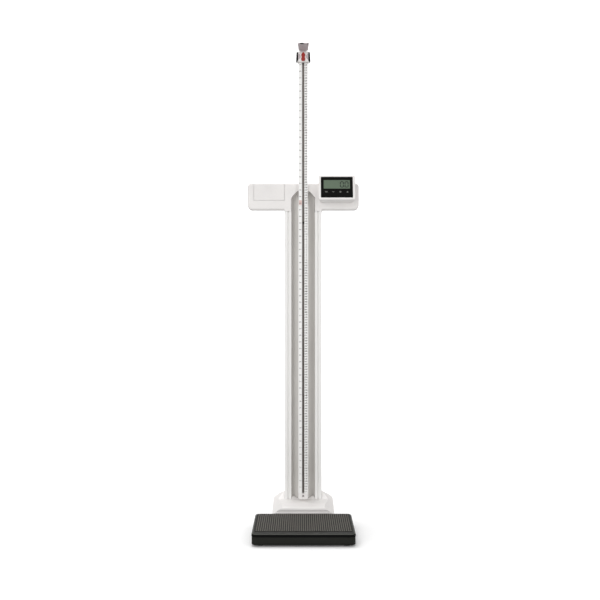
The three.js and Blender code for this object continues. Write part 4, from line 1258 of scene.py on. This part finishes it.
def tongue():
    """Folding head rest with lengthwise ribs under it, a barrel round the pin and a dark front edge."""
    low, high = HINGE_Z - 2, HINGE_Z + 2
    front, heel = 36, 140
    tip, shoulder, neck = 20.5, 17.5, 10.7
    left = [(-neck, HINGE_Y), (-neck, heel, 0.5), (-shoulder, heel, 1.5), (-tip, front, 6)]
    right = [(-p[0], *p[1:]) for p in reversed(left)]
    plate = prism("tongue_look", "z", filleted([left[-1], *right, *left[:-1]], 8), (low, high))
    rounded(plate, 1.0, 4)
    join(plate, bar("barrel", "x", (HINGE_Y, HINGE_Z), 3.5, both(10.6), 40))
    rib_pitch = 4
    grooves = [
        slab("groove", span(rib_pitch * i, 1.3), (low - 3, low + 0.8), 0.6, (front + 8, heel - 6))
        for i in range(-3, 4)
    ]
    cut(plate, bar("pin_hole", "x", (HINGE_Y, HINGE_Z), 1.8, both(12), 24), *grooves)
    stand_in(plate, "tongue")
    edge_outline = oblong((front + 0.1, 38.2), (low + 0.3, high - 0.3), 1)
    edge = prism("tongue_front_edge", "x", edge_outline, both(15.5))
    angles = [pi * i / 20 for i in range(40)]
    lens = [(8.5 * cos(a) - 5, HINGE_Z + 2.5 * sin(a)) for a in angles]
    stop = block("stop", (13.5, 19.0), (front + 0.4, 41), (low - 0.4, high + 0.3))
    dark = joined("tongue_front_trim", [edge, prism("lens", "y", lens, (front, 39)), stop])
    rounded(dark, 0.4)
    place(dark, "tongue", "black_plastic")
    pin_half = [(0, 15), (1.2, 15), (1.5, 14.7)]
    profile = [(radius, -x) for radius, x in pin_half] + pin_half[::-1]
    stand_in(turned("tongue_pin_look", "x", (HINGE_Y, HINGE_Z), profile, 32), "tongue_pin")


# ---- feet and wheels


def feet():
    pad = [(0, 0), (14.4, 0), (15.4, 0.3), (15.9, 1.1), (16, 2.2), (15.8, 3.4), (15.2, 4.1), (13.6, 4.6)]
    nut = [(9.6, 5.8), (9, 6.4), (9, 8.6), (8.6, 9), (4, 9)]
    thread = []
    for i in range(17):
        z = 9.6 + i
        thread += [(4.0, z), (3.55, z + 0.5)]
    profile = pad + nut + thread + [(3.6, 26.6), (3.2, 27), (0, 27)]
    front, rear = (150, -222), (92, 186)
    for node, side, (x, y) in (
        ("foot_front_left", -1, front), ("foot_front_right", 1, front),
        ("foot_rear_left", -1, rear), ("foot_rear_right", 1, rear),
    ):
        foot = turned(node + "_look", "z", (side * x, y), profile, 48)
        flats = []
        for i in range(3):
            tool = block("flat", (8.2, 12), both(6), (6.3, 9.2))
            turn = Matrix.Rotation(2 * pi * i / 3, 4, "Z")
            flats.append(moved(tool, Matrix.Translation((side * x * MM, y * MM, 0)) @ turn))
        cut(foot, *flats)
        stand_in(foot, node)


def wheels():
    """Spoked wheels with a grooved tread, each on a stub axle with a domed head."""
    hub = [(4.3, -9), (8.4, -9), (9, -8.6), (9, -6.4)]
    disc = [(9.6, -6), (18.4, -6), (19, -6.4), (19, -8.4)]
    tyre = [(19.6, -9), (21.6, -9), (23.2, -8.2), (23.9, -6.6), (24, -4.6)]
    tread = [(23.5, -4.3), (23.5, -3.7), (24, -3.4), (24, -0.5), (23.5, -0.3), (23.5, 0.3), (24, 0.5)]
    half = hub + disc + tyre + tread
    profile = half + [(radius, -x) for radius, x in reversed(half)]
    y, z = WHEEL_CENTRE
    hole_circle, hole_count = 14, 6
    shank = [(0, 76), (4, 76), (4, 102.3)]
    head = [(6.4, 102.3), (7, 102.9), (6.9, 104.2), (6, 105.1), (3, 105.5), (0, 105.5)]
    for name, side in (("left", -1), ("right", 1)):
        middle = side * WHEEL_X
        wheel = turned("wheel_" + name + "_look", "x", (y, z), [(r, middle + x) for r, x in profile], 72)
        holes = []
        for i in range(hole_count):
            a = 2 * pi * i / hole_count
            place_at = (y + hole_circle * cos(a), z + hole_circle * sin(a))
            holes.append(bar("hole", "x", place_at, 2.6, span(middle, 12), 24))
        cut(wheel, *holes)
        stand_in(wheel, "wheel_" + name)
        node = "wheel_axle_" + name
        stand_in(turned(node + "_look", "x", (y, z), [(r, side * x) for r, x in shank + head], 48), node)


# ---- electronics


def board_parts(board, chips):
    """The parts that stand on a board, each a soft-edged block."""
    dark = joined(board + "_parts", [block("chip", x, y, z) for x, y, z in chips])
    return rounded(dark, 0.3, 2)


def boards():
    refined("junction_board", 0.3)
    terminal_pitch = 9
    terminals = [(span(terminal_pitch * i, 3.4), (123, 131), (26, 34)) for i in range(-2, 3)]
    converter = ((-10, 2), (144, 156), (26, 28.4))
    place(board_parts("junction_board", [*terminals, converter]), "base", "black_plastic")
    rear_face = 10.6
    board = block("display_board_look", both(58), (9, rear_face), (10, 92))
    rounded(board, 0.3, 2)
    stand_in(face_piece(board), "display_board")
    chips = board_parts("display_board", [
        (span(-20, 9), (rear_face, 12.4), span(50, 9)), (span(18, 5), (rear_face, 12.0), span(40, 7)),
        (span(44, 6), (rear_face, 17.0), span(20, 4)), (span(-44, 4), (rear_face, 15.0), span(74, 4)),
    ])
    place(face_piece(chips), "base", "black_plastic")


def batteries():
    """Wrapped cells with a steel button, three rows of two."""
    for i in range(1, 7):
        node = "battery_" + str(i)
        low, high = corners(node)
        centre = ((low.y + high.y) / 2, (low.z + high.z) / 2)
        shoulder = high.x - 1.1
        wrap = turned(node + "_look", "x", centre, [
            (0, low.x), (5.6, low.x), (6.6, low.x + 0.1), (7.1, low.x + 0.7), (7.1, high.x - 1.9),
            (6.7, high.x - 1.3), (5.9, shoulder), (0, shoulder),
        ], 40)
        stand_in(wrap, node)
        button = turned(node + "_button", "x", centre, [
            (0, high.x - 1.2), (2.7, high.x - 1.2), (2.7, high.x - 0.3), (2.3, high.x), (0, high.x),
        ], 32)
        place(button, "base", "battery_wrap", "zinc_steel")


def bezier(a, b, c, count):
    return [a.lerp(b, t / count).lerp(b.lerp(c, t / count), t / count) for t in range(count)]


def signal_cable():
    """From the junction board, up inside the right profile and out into the display head."""
    stretches = [
        ((16, 155, 28.8), (30, 216, 28.8), (DUCT_X, DUCT_Y, 40), 12),
        ((DUCT_X, DUCT_Y, 40), (DUCT_X, DUCT_Y, 620), (DUCT_X, DUCT_Y, 1190), 4),
        ((DUCT_X, DUCT_Y, 1190), (DUCT_X, 220, 1212), (82, 220, 1228), 10),
        ((82, 220, 1228), (CABLE_X, DUCT_Y, CABLE_Z), (CABLE_X, 208, CABLE_Z), 12),
        ((CABLE_X, 208, CABLE_Z), (CABLE_X, 198, CABLE_Z), (CABLE_X, 188, CABLE_Z), 4),
    ]
    path = []
    for a, b, c, count in stretches:
        path += bezier(Vector(a), Vector(b), Vector(c), count)
    path.append(Vector(stretches[-1][2]))
    rings = []
    normal = Vector((0, 0, 1))
    for i, point in enumerate(path):
        ahead = path[min(i + 1, len(path) - 1)]
        behind = path[max(i - 1, 0)]
        along = (ahead - behind).normalized()
        normal = (normal - along * normal.dot(along)).normalized()
        rings.append(ring_around(point, normal, along.cross(normal), 2.5, 14))
    stand_in(ring_solid("signal_cable_look", rings), "signal_cable")


# ---- the object

platform_pan()
platform_rim()
platform_bumper()
platform_mat()
base_cover()
column_profiles()
crossbar_covers()
battery_lid()
display_housing()
display_bezel()
display_panel()
lcd_module()
lcd_digits()
keys()
rod_sections()
groove_liners()
rod_ends()
graduations("rod_outer_marks", "base", OUTER_LOW.y, (OUTER_LOW.z, OUTER_HIGH.z), ROD_HALF)
graduations("rod_inner_marks", "upper_rod", INNER_LOW.y, (880, INNER_HIGH.z), INNER_HALF)
guide_mark()
plain_fittings()
slide_body()
slide_grips()
slide_catch()
catch_spring()
tongue()
feet()
wheels()
boards()
batteries()
signal_cable()


# ---- floor, light and camera


def studio_floor():
    """A pale floor that sweeps up into a backdrop behind the object."""
    near, far, height, sweep = -6000, 3400, 4200, 1400
    steps = 16
    line = [(near, 0)]
    for i in range(steps + 1):
        a = pi / 2 * i / steps
        line.append((far - sweep + sweep * sin(a), sweep * (1 - cos(a))))
    line.append((far, height))
    bm = bmesh.new()
    rows = [[bm.verts.new((x * MM, y * MM, z * MM)) for y, z in line] for x in both(5000)]
    for i in range(len(line) - 1):
        bm.faces.new((rows[0][i], rows[1][i], rows[1][i + 1], rows[0][i + 1]))
    mesh = bpy.data.meshes.new("floor")
    bm.to_mesh(mesh)
    bm.free()
    for polygon in mesh.polygons:
        polygon.use_smooth = True
    ground = added("floor", mesh)
    ground.data.materials.append(studio_paper())


def studio_paper():
    """Paper that the camera sees bright, and brighter far behind, while it bounces less light."""
    shader = Shader("studio_paper")
    seen = shader.node("ShaderNodeLightPath").outputs["Is Camera Ray"]
    paper = shader.mix(shader.noise(400, 3), linear(252, 252, 252), linear(249, 249, 249))
    shader.give(Base_Color=shader.mix(seen, linear(196, 196, 196), paper))
    shader.give(Roughness=shader.ramp(shader.noise(30, 3), 0.75, 0.85))
    shader.bump((shader.noise(3, 2), 0.1, 0.05))
    split = shader.node("ShaderNodeSeparateXYZ")
    shader.link(shader.coordinates, split.inputs["Vector"])
    glow_starts, glow_full = 0.35, 1.5
    backdrop_glow = shader.ramp(split.outputs["Y"], 0.05, 0.6, glow_starts, glow_full)
    glow = shader.node("ShaderNodeMath", operation="MULTIPLY")
    shader.link(seen, glow.inputs[0])
    shader.link(backdrop_glow, glow.inputs[1])
    shader.fix("Emission Color", (1, 1, 1, 1))
    shader.give(Emission_Strength=glow.outputs["Value"])
    return shader.material


def area_light(name, place_at, target, size, power):
    data = bpy.data.lights.new(name, "AREA")
    data.shape = "RECTANGLE"
    data.size, data.size_y = size
    data.energy = power
    light = added(name, data)
    light.location = place_at
    light.rotation_euler = (Vector(target) - Vector(place_at)).to_track_quat("-Z", "Y").to_euler()


def lights():
    """A large light overhead and two in front; places and sizes are in metres, powers in watts."""
    middle, front_size = (0, 0, 0.8), (1.6, 2.6)
    area_light("overhead", (-0.5, 1.1, 3.4), (0, 0, 0.4), (2.8, 2.2), 66)
    area_light("front_left", (-2.0, -3.8, 1.7), middle, front_size, 52)
    area_light("front_right", (2.2, -3.4, 1.7), middle, front_size, 32)
    world = bpy.data.worlds.new("studio")
    world.use_nodes = True
    background = world.node_tree.nodes["Background"]
    background.inputs["Color"].default_value = (1, 1, 1, 1)
    background.inputs["Strength"].default_value = 0.62
    bpy.context.scene.world = world


def camera():
    """Level, at the place that the photo's perspective gives, in metres."""
    data = bpy.data.cameras.new("camera")
    data.lens = 61.8
    data.sensor_width = 36
    data.clip_end = 30
    eye = added("camera", data)
    eye.location = (-0.0124, -3.788, 0.847)
    eye.rotation_euler = (radians(90), 0, 0)
    bpy.context.scene.camera = eye


studio_floor()
lights()
camera()
bpy.context.scene.view_settings.view_transform = "Standard"
